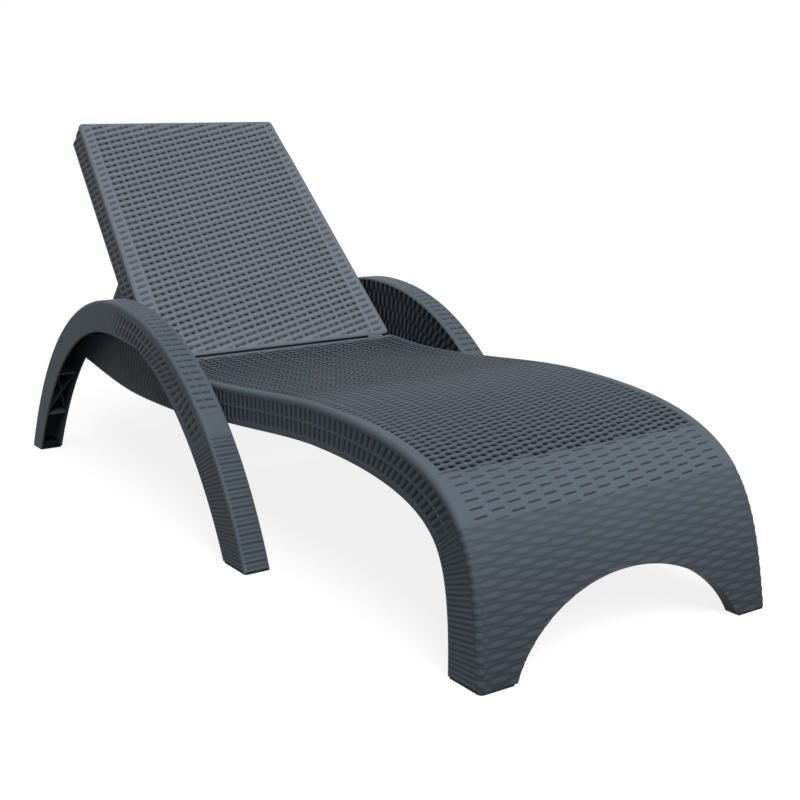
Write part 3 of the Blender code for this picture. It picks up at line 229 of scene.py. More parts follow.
def piece(name, shape, material, body, node, sink=None, angle=38, bevel=0.0):
    """Makes the mesh, merges doubles, turns the faces out, and lets it ride and replace."""
    points, faces = shape
    points = points - np.array((0, MIDDLE, 0))
    mesh = bpy.data.meshes.new(name)
    mesh.from_pydata(points, [], faces)
    if sink is not None:
        layer = mesh.attributes.new("sink", "FLOAT", "POINT")
        layer.data.foreach_set("value", np.asarray(sink, np.float32).ravel())
    work = bmesh.new()
    work.from_mesh(mesh)
    bmesh.ops.remove_doubles(work, verts=work.verts, dist=1e-6)
    loose = [vertex for vertex in work.verts if not vertex.link_faces]
    bmesh.ops.delete(work, geom=loose, context="VERTS")
    bmesh.ops.recalc_face_normals(work, faces=work.faces)
    work.to_mesh(mesh)
    work.free()
    mesh.materials.append(material)
    mesh.shade_smooth()
    mesh.set_sharp_from_angle(angle=math.radians(angle))
    thing = add_object(name, mesh)
    if bevel:
        edge = thing.modifiers.new("edge", "BEVEL")
        edge.width, edge.segments, edge.limit_method = bevel, 2, "ANGLE"
        edge.angle_limit = math.radians(50)
        edge.harden_normals = True
    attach(thing, body)
    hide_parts(node)
    triangles = sum(len(face.vertices) - 2 for face in mesh.polygons)
    print(f"{name}: {len(mesh.vertices)} points, {triangles} triangles")
    return thing


# %% [markdown]
# ## The resin
#
# The whole lounger is one matt, anthracite resin with a faint cloudiness and a fine grain
# from the mould. A flat colour would look like card. A node group holds what every resin
# shares: a slow noise that lightens and darkens the colour, a fine noise for the grain's
# height, and painted shade deep in the weave, with painted highlight on the crests. The depth
# comes from the mesh as an attribute, so the painted shade follows the relief. The group puts
# out only a colour, a roughness and a height, and the Principled shader stays in each material.


# %% The grain group
def feed(tree, node, inputs):
    """Gives each input its value, or a link from the output that is named for it."""
    for name, value in inputs.items():
        if isinstance(value, bpy.types.NodeSocket):
            tree.links.new(value, node.inputs[name])
        else:
            node.inputs[name].default_value = value


def add_node(tree, kind, inputs, operation=None):
    """A new node with its inputs fed."""
    node = tree.nodes.new(kind)
    if operation:
        node.operation = operation
    feed(tree, node, inputs)
    return node


def math_node(tree, operation, *values):
    """The output of a math node, from numbers and outputs of other nodes."""
    return add_node(tree, "ShaderNodeMath", dict(enumerate(values)), operation).outputs[0]


def object_place(tree):
    """The place on the object, for textures."""
    return tree.nodes.new("ShaderNodeTexCoord").outputs["Object"]


def resin_group():
    """Colour, roughness and height of moulded resin, from a base tone and the weave's depth."""
    group = bpy.data.node_groups.new("moulded resin", "ShaderNodeTree")
    for name, value in {
        "Tone": (0.1, 0.1, 0.1, 1),
        "Cloud": 0.08,
        "Grain Scale": 900.0,
        "Pit Shade": 0.4,
        "Roughness": 0.5,
    }.items():
        kind = "NodeSocketColor" if name == "Tone" else "NodeSocketFloat"
        socket = group.interface.new_socket(name=name, in_out="INPUT", socket_type=kind)
        socket.default_value = value
    for name in ("Colour", "Roughness", "Height"):
        kind = "NodeSocketColor" if name == "Colour" else "NodeSocketFloat"
        group.interface.new_socket(name=name, in_out="OUTPUT", socket_type=kind)
    given, place = group.nodes.new("NodeGroupInput").outputs, object_place(group)
    slow = {"Vector": place, "Scale": 7.0, "Detail": 4.0}
    fine = {"Vector": place, "Scale": given["Grain Scale"], "Detail": 3.0}
    cloud, grain = (add_node(group, "ShaderNodeTexNoise", noise) for noise in (slow, fine))
    depth = group.nodes.new("ShaderNodeAttribute")
    depth.attribute_name = "sink"

    # The colour is the tone times (noise - 0.5) * cloud - depth * pit shade + 1: painted shade
    # where the depth is high, painted highlight where it is below 0.
    centred = math_node(group, "SUBTRACT", cloud.outputs["Fac"], 0.5)
    swing = math_node(group, "MULTIPLY", centred, given["Cloud"])
    shade = math_node(group, "MULTIPLY", depth.outputs["Fac"], given["Pit Shade"])
    level = math_node(group, "ADD", math_node(group, "SUBTRACT", swing, shade), 1.0)
    scaled = {0: given["Tone"], "Scale": level}
    tint = add_node(group, "ShaderNodeVectorMath", scaled, "SCALE")
    gloss = math_node(group, "MULTIPLY_ADD", swing, 0.4, given["Roughness"])
    found = {"Colour": tint.outputs["Vector"], "Roughness": gloss, "Height": grain.outputs["Fac"]}
    feed(group, group.nodes.new("NodeGroupOutput"), found)
    return group


RESIN = resin_group()
print("Group made:", RESIN.name, "with", len(RESIN.nodes), "nodes")


# %% Materials made from it
def new_material(name):
    """A material with nodes, its node tree and its Principled shader."""
    material = bpy.data.materials.new(name)
    material.use_nodes = True
    return material, material.node_tree, material.node_tree.nodes["Principled BSDF"]


def resin(name, tone, cloud, grain, pit, roughness, bump=0.12):
    """A Principled material that takes its colour, roughness and bump from the group."""
    material, tree, shader = new_material(name)
    coat = tree.nodes.new("ShaderNodeGroup")
    coat.node_tree = RESIN
    names = ("Tone", "Cloud", "Grain Scale", "Pit Shade", "Roughness")
    feed(tree, coat, dict(zip(names, ((*tone, 1), cloud, grain, pit, roughness))))
    grains = {"Strength": bump, "Distance": GRAIN_HIGH, "Height": coat.outputs["Height"]}
    relief = add_node(tree, "ShaderNodeBump", grains)
    surface = {
        "Base Color": coat.outputs["Colour"],
        "Roughness": coat.outputs["Roughness"],
        "Normal": relief.outputs["Normal"],
        "Specular IOR Level": SHEEN,
    }
    feed(tree, shader, surface)
    return material


GRAIN_HIGH = 0.0004
SHEEN = 0.08  # weathered resin hardly mirrors anything
# one resin in two copies: the frame's painted a little darker, the back's painted lighter
SLATE = (0.101, 0.124, 0.150)
LIT_BACK_SLATE = (0.134, 0.153, 0.180)  # painted light: the back's copy of the resin is made lighter, as the back faces the light
WOVEN = resin("woven resin", SLATE, 0.10, 900, 0.93, 0.56)
WOVEN_LIT_BACK = resin("woven resin painted lighter for the back", LIT_BACK_SLATE, 0.10, 900, 0.93, 0.56)
PLAIN = resin("plain resin", SLATE, 0.08, 700, 0.0, 0.52)
DARK = resin("structure resin", (0.060, 0.071, 0.085), 0.12, 600, 0.0, 0.55)
RUBBER = resin("pad rubber", (0.016, 0.017, 0.019), 0.25, 1500, 0.0, 0.8, 0.3)
print("Resins:", [m.name for m in (WOVEN, WOVEN_LIT_BACK, PLAIN, DARK, RUBBER)])

# %% [markdown]
# ## The weave as a formula
#
# The lattice has *bays* between slim ribs and *rows* between holes. Let a count bays and b
# count rows. A staircase lifts the rows by half a row in each bay, which makes the bands look
# slanted: on the deck mostly where a rib is crossed, on the back evenly. The sink is how far
# a point lies under the shell's face: nothing on the crest of a band, deep along the line
# that joins two holes, and slight on the rib.


# %% Sink of the lattice
def smooth(x):
    """3x^2 - 2x^3 between 0 and 1."""
    x = np.clip(x, 0, 1)
    return x * x * (3 - 2 * x)


def rise(x, start, wide):
    """0 up to start, and 1 from start + wide on."""
    return smooth((x - start) / wide)


def fall(x, end, wide):
    """1 up to end - wide, and 0 from end on."""
    return smooth((end - x) / wide)


def between(x, low, high, fade, fade_out=None):
    """1 from low to high, fading out inside them, and 0 outside."""
    return rise(x, low, fade) * fall(x, high, fade_out or fade)


def wave(turns):
    """1 at whole turns and 0 half-way between them."""
    return 0.5 + 0.5 * np.cos(math.tau * turns)


DECK_SLOPE = 0.14  # the share of a row that a band climbs within its bay
BACK_SLOPE = 0.50  # on the back the bands climb evenly, without a step at the ribs
CROSSING = 0.1  # the share of a bay beside each rib in which the bands cross it


def staircase(a, slope):
    """Half a row for each bay: a slope in the bay, and the rest across the rib."""
    bay, inside = np.divmod(a, 1.0)
    across = rise(inside, 0, CROSSING) + rise(inside, 1 - CROSSING, CROSSING)
    return 0.5 * bay + slope * inside + (0.5 - slope) / 2 * across - 0.25


def band_sink(a, b, deep, rib, bulge, sharp, middle, slope, rib_wide):
    """How far under the face a point of the lattice is.

    The groove is a wave of the row with the staircase taken off, to a power. It is deepest
    at the two holes of the bay, at a quarter and three quarters of it. Between them only the
    share middle of that is left, and on the rib it is shallow. The band itself falls away by
    bulge towards the ribs.
    """
    inside = a % 1.0
    groove = wave(b - staircase(a, slope)) ** sharp
    spot = (1 - wave(2 * inside)) ** 0.7
    mid = between(inside, 0, 1, 0.16)
    on_rib = np.exp(-(((inside + 0.5) % 1.0 - 0.5) ** 2) / rib_wide**2)
    band = deep * groove * (middle + (1 - middle) * spot) + bulge * (1 - mid)
    return band * (1 - on_rib) + rib * on_rib


print("Rows climbed in two bays:", float(np.diff(staircase(np.array((0.0, 2.0)), DECK_SLOPE))[0]))

# %% [markdown]
# ## A perforated plate
#
# The seat and the back are open: dozens of rows of small holes that let air and rain through.
# Cutting thousands of holes with Booleans would be slow and would leave long thin faces. A
# plate can be laid out with its holes instead. Each row of the lattice has six grid lines and
# each bay eleven. Round a hole's centre the four quads are left out, and the eight points
# about them are pulled to an ellipse. The same grid, lowered by the wall's thickness, is the
# underside, and a band of quads joins the two round every hole.

# %% The lattice and its holes
BAY_LINES = np.array((0, 0.06, 0.17, 0.25, 0.33, 0.44, 0.56, 0.67, 0.75, 0.83, 0.94))
HOLE_LINES = (3, 8)
ROW_LINES = 6
RIM_WAY = ((-1, -1), (-1, 0), (-1, 1), (0, 1), (1, 1), (1, 0), (1, -1), (0, -1))
DIAGONAL = 0.72  # a corner point of a hole lies at this share of its radii
FACE_SET = 0.00015  # the woven face lies this far under the shell's own face
TONE_DEEP = 0.0032  # a point this deep has the darkest tone


def tone_of(depth, crest=0.0):
    """The share of the darkest tone, a painted shade that grows with depth. A crest share paints a
    highlight on the highest places.
    """
    return np.clip(depth / TONE_DEEP * (1 + crest) - crest, -crest, 1)


def deepen(tone, share):
    """A face that is darker as a whole, by a share of the darkest tone."""
    return np.minimum(tone + share, 1)


def lattice(bays, rows, cell, radii, holed, slope):
    """Grid coordinates a and b, the quads that stay, and the ring of points round each hole.

    holed(a, b) says whether a hole's centre is in the perforated field. A ring's point lies
    at the centre plus its way times the radii over the cell's width and height, and a share
    of that on the diagonals.
    """
    a = np.append((np.arange(bays)[:, None] + BAY_LINES).ravel(), bays)
    b = np.arange(rows * ROW_LINES + 1) / ROW_LINES
    grid_a, grid_b = np.meshgrid(a, b)
    bay = np.repeat(np.arange(bays), len(HOLE_LINES))
    col = bay * len(BAY_LINES) + np.tile(HOLE_LINES, bays)
    row = ROW_LINES // 2 * (bay % 2)[:, None] + ROW_LINES * np.arange(rows)
    col = np.broadcast_to(col[:, None], row.shape)
    wanted = (row > 1) & (row < rows * ROW_LINES - 1) & holed(a[col], b[row])
    row, col = row[wanted], col[wanted]
    keep = np.ones((len(b) - 1, len(a) - 1), bool)
    for down, right in ((-1, -1), (-1, 0), (0, -1), (0, 0)):
        keep[row + down, col + right] = False
    centre_a, centre_b = a[col], b[row]
    centre_b = centre_b + staircase(centre_a, slope) - 0.5 * np.floor(centre_a)
    rings = []
    for down, right in RIM_WAY:
        share = DIAGONAL if down and right else 1.0
        grid_a[row + down, col + right] = centre_a + share * right * radii[0] / cell[0]
        grid_b[row + down, col + right] = centre_b + share * down * radii[1] / cell[1]
        rings.append((row + down) * len(a) + col + right)
    return grid_a, grid_b, keep, np.column_stack(rings), row


# %% The plate
def perforated(grid, place, sink, thickness, low, high, crest, pocket=None, draw=None):
    """Lines low to high of the lattice as one closed shell, and the tone of each point.

    The shell has a top, an underside, a wall round every hole and an edge all round. With
    a pocket depth the holes are blind: their walls end in floors, and the underside is whole.
    A draw gives how many rows a hole's lower end is shifted, as the mould is drawn upwards.
    The crest is the share of painted highlight on the tops of the bands.
    """
    grid_a, grid_b, keep, rings, spots = grid
    a, b = grid_a[low : high + 1], grid_b[low : high + 1]
    rings = rings[(spots > low) & (spots < high)] - low * a.shape[1]
    quads = grid_faces(*a.shape)[keep[low:high].ravel()]
    depth = sink(a, b)
    b_under = b.copy()
    if draw:
        b_under.flat[rings] += draw(b.flat[rings], thickness - depth.flat[rings])
    top, base = place(a, b, depth), place(a, b_under, np.full_like(depth, thickness))
    below = depth.size
    points, tones = [top.reshape(-1, 3), base.reshape(-1, 3)], [tone_of(depth, crest).ravel()]
    under, foot, floors = quads, rings + below, []
    if pocket:
        under = grid_faces(*a.shape)
        foot = 2 * below + np.arange(rings.size).reshape(rings.shape)
        floors = foot.tolist()
        points.append(place(a.flat[rings.ravel()], b.flat[rings.ravel()], pocket))
    after, foot_after = np.roll(rings, -1, axis=1), np.roll(foot, -1, axis=1)
    walls = np.stack([rings, after, foot_after, foot], axis=2).reshape(-1, 4)
    faces = np.vstack([quads, under[:, ::-1] + below, walls, edge_faces(*a.shape)])
    points = np.vstack(points)
    # painted shade: the underside and the floors of the pockets take the darkest tone
    tones.append(np.ones(len(points) - below))
    return (points, faces.tolist() + floors), np.concatenate(tones)


# %% [markdown]
# ## The seat shell's line
#
# The seat is one shell. Seen from the side its top runs up from the floor at the foot end,
# over a knee, along a shallow valley and up a little to the hinge. Its sides fold down into
# skirts that are a little deeper at the foot. Near the floor the direction into the shell
# turns level, so that the foot stands flat.

# %% Seat track
CREST, VALLEY, SEAT_END = (0.512, 0.3668), (1.070, 0.331), (1.199, 0.336)
FOOT_LEAN = math.radians(7)
FOOT_HANDLES, MIDDLE_HANDLES, REAR_HANDLE = (0.2534, 0.4539), (0.150, 0.200), 0.045
EASE_FOOT, EASE_REAR = 0.055, 0.050  # lengths over which the direction into the shell turns
SEAT_WALL, SEAT_ROUND = 0.005, 0.009
SEAT_HALF, SEAT_CLOSING = 0.3312, 0.0505  # half the width at the floor, and its loss by height
SKIRT, SKIRT_MORE, SKIRT_FADE = 0.077, 0.0095, 0.130


def seat_track():
    """The seat's line. Its direction is eased to level at the floor and to down at the hinge."""
    toe = (0, LEG_BASE)
    low, high = FOOT_HANDLES
    foot = bezier(toe, polar(toe, low, FOOT_LEAN), moved(CREST, -high), CREST)
    low, high = MIDDLE_HANDLES
    middle = bezier(CREST, moved(CREST, low), moved(VALLEY, -high), VALLEY)
    rear = bezier(VALLEY, moved(VALLEY, REAR_HANDLE), moved(SEAT_END, -REAR_HANDLE), SEAT_END)
    track = Track(np.vstack([foot, middle, rear]))
    level = np.clip(1 - track.run / EASE_FOOT, 0, 1)[:, None]
    down = np.clip(1 - (track.length - track.run) / EASE_REAR, 0, 1)[:, None]
    into = track.into * (1 - level - down) + level * (1, 0) + down * (0, -1)
    return Track(track.points, into)


SEAT = seat_track()


def seat_half(z):
    """Half the shell's width: the sides close in with height."""
    return SEAT_HALF - SEAT_CLOSING * z


def skirt_depth(s):
    """How deep the sides reach: a little deeper at the foot."""
    return SKIRT + SKIRT_MORE * np.exp(-s / SKIRT_FADE)


def on_seat(x, s, depth):
    """Points of the seat: across by x, along its line by s, into it by depth."""
    return np.stack(np.broadcast_arrays(x, *SEAT.at(s, depth)), axis=-1)


print(f"Seat line: {SEAT.length:.3f} m from the floor to the hinge")

# %% [markdown]
# ## Deck: rows that open out, and a solid start
#
# Counted on the photo, the rows lie 14.5 mm apart at the knee and 18 mm apart at the hinge.
# So the row number is the sum of length over spacing, and its inverse gives the place of
# each grid line. Fifteen bays of 38.7 mm leave a plain strip at each side. The rows over the
# knee are closed and only dimpled with dashes, so they belong to the foot end's panels; from
# there on the deck is open. Its holes run plumb, because the mould is drawn upwards.

# %% Rows of the deck
BAYS, BAY_WIDE = 15, 0.0387
FIELD = BAYS * BAY_WIDE / 2
KNEE_START, DECK_START = 0.268, 0.3745
DECK_UNDER = 0.0062  # the woven deck is a little thicker than the plain shell
DECK_END = SEAT.length - 0.0125
DECK_CLOSED = 0.040  # so much of the deck is closed at the hinge
DECK_CELL, DECK_HOLE = (BAY_WIDE, 0.0160), (0.0050, 0.0024)  # a hole's radii across and along
DECK_CREST_HIGHLIGHT = 0.10  # painted highlight: crests are lighter by this share of the darkest tone
SPACING_AT = np.array((0.0, 0.37, 0.60, 0.73, 0.85, 1.00, 1.50))
SPACING = np.array((0.0145, 0.0145, 0.0148, 0.016, 0.0172, 0.018, 0.0182))
deck_s = np.linspace(DECK_START, DECK_END, 4000)
row_steps = np.diff(deck_s) / np.interp(deck_s[1:], SPACING_AT, SPACING)
deck_row = np.concatenate(([0], np.cumsum(row_steps)))
ROWS = int(deck_row[-1])
deck_row *= ROWS / deck_row[-1]
print(f"Deck: {ROWS} rows in {BAYS} bays")


def row_place(b):
    """The length at which a row lies."""
    return np.interp(b, deck_row, deck_s)


def deck_place(a, b, depth):
    """Lattice coordinates on the deck."""
    return on_seat((a - BAYS / 2) * BAY_WIDE, row_place(b), depth)


# %% Deck in two plates
DECK_WEAVE = {"deep": 0.0042, "rib": 0.0004, "bulge": 0.0009, "sharp": 0.85, "rib_wide": 0.04}


def deck_sink(a, b):
    """Bands from the first row to the last, and plain at the hinge's end.

    Towards the rear the bands between two holes are flatter, so the holes stand out.
    """
    middle = 0.30 - 0.20 * rise(row_place(b), 0.60, 0.25)
    bands = band_sink(a, b, middle=middle, slope=DECK_SLOPE, **DECK_WEAVE)
    return bands * fall(b, ROWS, 1.2) + FACE_SET


def deck_holed(a, b):
    """Whether a hole's centre lies in the open part of the deck."""
    return row_place(b) < SEAT.length - DECK_CLOSED


def deck_draw(b, thick):
    """Plumb holes: where the deck slopes, their lower ends lie further down the slope."""
    s = row_place(b)
    slope = -np.interp(s, SEAT.run, SEAT.into[:, 0]) / -np.interp(s, SEAT.run, SEAT.into[:, 1])
    return thick * slope / np.interp(s, SPACING_AT, SPACING)


def deck_shade(tone, y):
    """Behind the crest of the deck the pits begin higher up; painted shade darkens the deck there,
    and a painted highlight lightens its bands.
    """
    rear = rise(y, 0.50, 0.25)
    pits = 1.3 * rise(tone, 0.05, 0.26) - 0.3
    return deepen(tone + (pits - tone) * rear, 0.16 * rear)


deck_grid = lattice(BAYS, ROWS, DECK_CELL, DECK_HOLE, deck_holed, DECK_SLOPE)
seam = ROWS // 2 * ROW_LINES + 1  # between the holes of even and of odd bays
for word, low, high in (("front", 0, seam), ("rear", seam, ROWS * ROW_LINES)):
    shape, tone = perforated(
        deck_grid, deck_place, deck_sink, DECK_UNDER, low, high, DECK_CREST_HIGHLIGHT, draw=deck_draw
    )
    # painted shade and painted highlight behind the deck's crest
    tone = deck_shade(tone, shape[0][:, 1])
    piece(f"deck_{word}", shape, WOVEN, "frame", "seat_shell", tone)

# %% [markdown]
# ## Strands, dashes, slots and fine ribs
#
# Five more reliefs are needed, and each is a short formula. Below the knee the panel has
# long, fine, level *strands* that lean against each other like lenses. Over the knee lie rows
# of *dashes*, in the bays of the deck. On skirts and arms there are *slots*: a wave along the
# edge, cut off at the edges of a course. Near the floor they give way to *fine ribs*. The
# arm's inner wall has slots laid like *bricks*.

# %% Reliefs of the closed faces
STRAND, SWING_LONG = 0.0097, 0.0774
DASH_FIRST, DASH_PITCH = 0.2755, 0.0172
DASH_ENDS = (0.08, 0.92)  # a dash begins and ends at these shares of its bay
SLOT_PITCH, COURSE_SOFT = 0.01775, 0.004


def strand_sink(x, s, deep=0.0012):
    """Level strands between lines that swing along x, one up and the next one down.

    So each strand is thick in one place and thin in the next. Across itself it is a low
    arch, 1 - (2v - 1)^2 to the power 0.6, and where it is thin it lies a little deeper.
    """
    swing = 0.12 * np.sin(math.tau * x / SWING_LONG)
    t = s / STRAND

    def line(k):
        """An even line swings up where an odd one swings down."""
        return k + swing * (1 - 2 * (k % 2))

    n = np.floor(t)
    n = n - (t < line(n)) + (t >= line(n + 1))
    low, high = line(n), line(n + 1)
    v = np.clip((t - low) / (high - low), 0, 1)
    crown = (1 - (2 * v - 1) ** 2) ** 0.6
    return deep * (1 - crown * (0.35 + 0.65 * rise(high - low, 0.70, 0.6)))


def dash_sink(x, s, deep=0.0023):
    """Thin dashes in the middle of each bay, shifted by half a row from bay to bay."""
    a = x / BAY_WIDE + BAYS / 2
    inside = a % 1.0
    row = (s - DASH_FIRST) / DASH_PITCH - 0.5 * np.floor(a) - DECK_SLOPE * (inside - 0.5)
    reach = between(inside, *DASH_ENDS, 0.10) * ((a > 0) & (a < BAYS))
    return deep * wave(row) ** 14 * reach


def closed_sink(x, s):
    """Strands up to the knee, dashes over it."""
    knee = rise(s, KNEE_START - 0.007, 0.010)
    return strand_sink(x, s) * (1 - knee) + dash_sink(x, s) * knee


def slots(along, across, pitch, courses, deep, sharp):
    """A wave along the edge, inside courses that are given by their first and last depth."""
    inside = sum(between(across, low, high, COURSE_SOFT) for low, high in courses)
    return deep * wave(along / pitch) ** sharp * inside


def fine_ribs(along, pitch, deep):
    """Narrow ribs, every second groove deeper."""
    return deep * wave(along / pitch) * (0.82 + 0.18 * np.cos(math.pi * along / pitch))


def brick_sink(phase, across, course, deep, sharp):
    """Slots laid in courses that are shifted by half a slot.

    Each course is a wave of the phase; towards the next course the two waves are mixed.
    """
    row = across / course
    low = np.floor(row)
    mix = rise(row - low, 0.8, 0.2)
    one, two = (wave(phase + 0.5 * (course % 2)) for course in (low, low + 1))
    return deep * ((1 - mix) * one + mix * two) ** sharp


# %% [markdown]
# ## The foot end
#
# The foot end is a closed panel that stands on two legs beside an elliptical arch. A grid
# that follows the arch has no steps in its edge: in a leg its rows go by the angle of the
# ellipse, and over the arch by the length of the shell's line. The panel is made as two
# halves that meet in the middle, with their inner walls taken out, and the knee closes on it.

# %% Foot panel and knee
ARCH_WIDE, ARCH_HIGH, ARCH_DROP = 0.2684, 0.200, 0.060
ARCH_START = math.asin((ARCH_DROP + LEG_BASE) / ARCH_HIGH)
FOOT_POINTS = 400  # of the line's points, those that climb from the floor over the arch
foot_y, foot_z = SEAT.points[:FOOT_POINTS].T
foot_run = SEAT.run[:FOOT_POINTS]
arch_turns = np.linspace(ARCH_START, math.pi / 2, 150)
leg_s = np.interp(ARCH_HIGH * np.sin(arch_turns) - ARCH_DROP, foot_z, foot_run)
panel_s = np.linspace(leg_s[-1], KNEE_START, 92)


def panel_half(s):
    """The closed panels reach to where the shell's edge starts to round off."""
    return seat_half(SEAT.at(s, 0)[1]) - SEAT_ROUND


FLOOR_SHADE, SHADE_END = 0.42, 0.29  # painted shade: its share at the floor, and the length where it ends


def floor_shade(s):
    """Painted shade: towards the floor the foot end gets darker."""
    return FLOOR_SHADE * np.clip(1 - s / SHADE_END, 0, 1)


def closed_panel(x, s):
    """A solid panel with its relief, and the tone of its points."""
    depth = closed_sink(x, s) + FACE_SET
    shape = slab(on_seat(x, s, depth), on_seat(x, s, SEAT_WALL))
    # painted shade: darker with depth, and darker towards the floor
    return shape, [deepen(tone_of(depth), floor_shade(s)).ravel(), np.ones(depth.size)]


run = np.concatenate([leg_s, panel_s[1:]])[:, None]
inner = np.concatenate([ARCH_WIDE * np.cos(arch_turns), 0 * panel_s[1:]])[:, None]
inner[len(leg_s) - 1] = 0
x = inner + (panel_half(run) - inner) * np.linspace(0, 1, 80)
halves = [closed_panel(way * x, np.broadcast_to(run, x.shape)) for way in (1, -1)]
points, faces = gather([shape for shape, _ in halves])
in_middle = np.abs(points[np.array(faces), 0]).max(axis=1) < 1e-9
shape = (points, np.array(faces)[~in_middle].tolist())
tone = np.concatenate([tone for _, tones in halves for tone in tones])
piece("foot_panel", shape, WOVEN, "frame", "seat_shell", tone)

knee_s = np.linspace(KNEE_START, DECK_START, 118)[:, None]
knee_x = panel_half(knee_s) * np.linspace(-1, 1, 241)[None, :]
shape, tones = closed_panel(knee_x, knee_s)
tone = np.concatenate(tones)
piece("deck_knee", shape, WOVEN, "frame", "seat_shell", tone)

# %% Rim of the arch
RIM_GROW, RIM_FRONT, RIM_BACK = 0.0045, 0.0046, 0.028


def arch_rim():
    """A band that follows the ellipse, from just under the panel's face inwards."""
    turns = np.linspace(ARCH_START, math.pi - ARCH_START, 140)
    loops = []
    for grow, depth in rectangle(0, RIM_GROW, RIM_FRONT, RIM_BACK):
        x = (ARCH_WIDE + grow) * np.cos(turns)
        z = np.maximum((ARCH_HIGH + grow) * np.sin(turns) - ARCH_DROP, LEG_BASE)
        loops.append(np.column_stack([x, np.interp(z, foot_z, foot_y) + depth, z]))
    return skin(np.stack(loops, axis=1))


piece("arch_rim", arch_rim(), PLAIN, "frame", "seat_shell", angle=50)

# %% [markdown]
# ## Swept edges
#
# The shell's long edges, the arms and the back's rim are all one idea: a profile that is
# carried along a line. The profile is written once as inset and depth, with the direction
# that the relief pushes each of its points in. The relief is a number for each station and
# each point of the profile, so it can change along the line as well as across it.

# %% Profiles
LIFT = 0.0012  # how far a hem's corners are eased


def profile(*runs):
    """Runs of (inset, depth, push inset, push depth), each an array or a number, in a row.

    Gives arrays of stations by points, and the distance walked over the profile.
    """
    parts = [np.broadcast_arrays(*run) for run in runs]
    inset, depth, push_in, push_deep = (
        np.concatenate([part[k] for part in parts], axis=1) for k in range(4)
    )
    steps = np.hypot(np.diff(inset, axis=1), np.diff(depth, axis=1))
    walked = np.concatenate([np.zeros((len(inset), 1)), np.cumsum(steps, axis=1)], axis=1)
    return inset, depth, push_in, push_deep, walked


def quarter(one, radius, steps, flat=False):
    """A rounded edge between side and top. The push is along the radius, inwards."""
    turn = np.linspace(0, math.pi / 2, steps)[None, :]
    if flat:
        turn = turn[:, ::-1]
    cos, sin = np.cos(turn), np.sin(turn)
    return [one * part for part in (radius * (1 - cos), radius * (1 - sin), cos, sin)]


def hem(one, deep, wall):
    """The lower edge of a skirt, from its outer face to its inner one, slightly rounded."""
    inset = np.array((0, 0.35 * LIFT, LIFT, wall - LIFT, wall - 0.35 * LIFT, wall))[None, :]
    raised = np.array((LIFT, 0.35 * LIFT, 0, 0, 0.35 * LIFT, LIFT))[None, :]
    return [one * inset, one * (deep - raised), 0.0, 0.0]


# %% Sides of the seat
LEAN_AT = np.array((0.0, 0.15, 0.27, 0.38, 0.47, 0.60, 0.68, 1.50))
LEAN = np.array((-0.05, -0.1, 0.2, 0.55, 0.6, 0.2, 0.0, 0.0))
SEAT_COURSES = ((0.013, 0.0395), (0.0405, 0.067))
SKIRT_MIDDLE = 0.040  # the slots lean about this depth
SKIRT_CUT = (0.0022, 1.6)  # how deep the slots are, and how sharp
SKIRT_RIB = 0.0011
STRIP_DEEP = 0.0026
SKIRT_SHADE = 0.15  # painted shade: the skirts are made a little darker than the deck
CORNER_IN, CORNER_DEEP = 0.0065, 0.0062  # the shell's inner corner, rounded off
TONGUE = 0.0004  # how far the lip lies under the closed panels
STATION = 0.0019  # from one station of a sweep to the next


def skirt_relief(s, depth, deep):
    """Slots in two courses that lean as the deck bends, and fine ribs near the floor."""
    along = s - np.interp(s, LEAN_AT, LEAN) * (depth - SKIRT_MIDDLE)
    near_floor = fine_ribs(s, STRAND, SKIRT_RIB) * fall(depth, deep, 0.004)
    leaning = slots(along, depth, SLOT_PITCH, SEAT_COURSES, *SKIRT_CUT)
    upper = rise(s, 0.24, 0.09)
    return near_floor * (1 - upper) + leaning * upper


def strip_sink(side, s):
    """In the rear half the deck's grooves run on over the strip beside it."""
    groove = wave(np.interp(s, deck_s, deck_row) - 0.25 * side) ** 1.5
    return STRIP_DEEP * groove * between(s, 0.55, DECK_END, 0.20, 0.02)


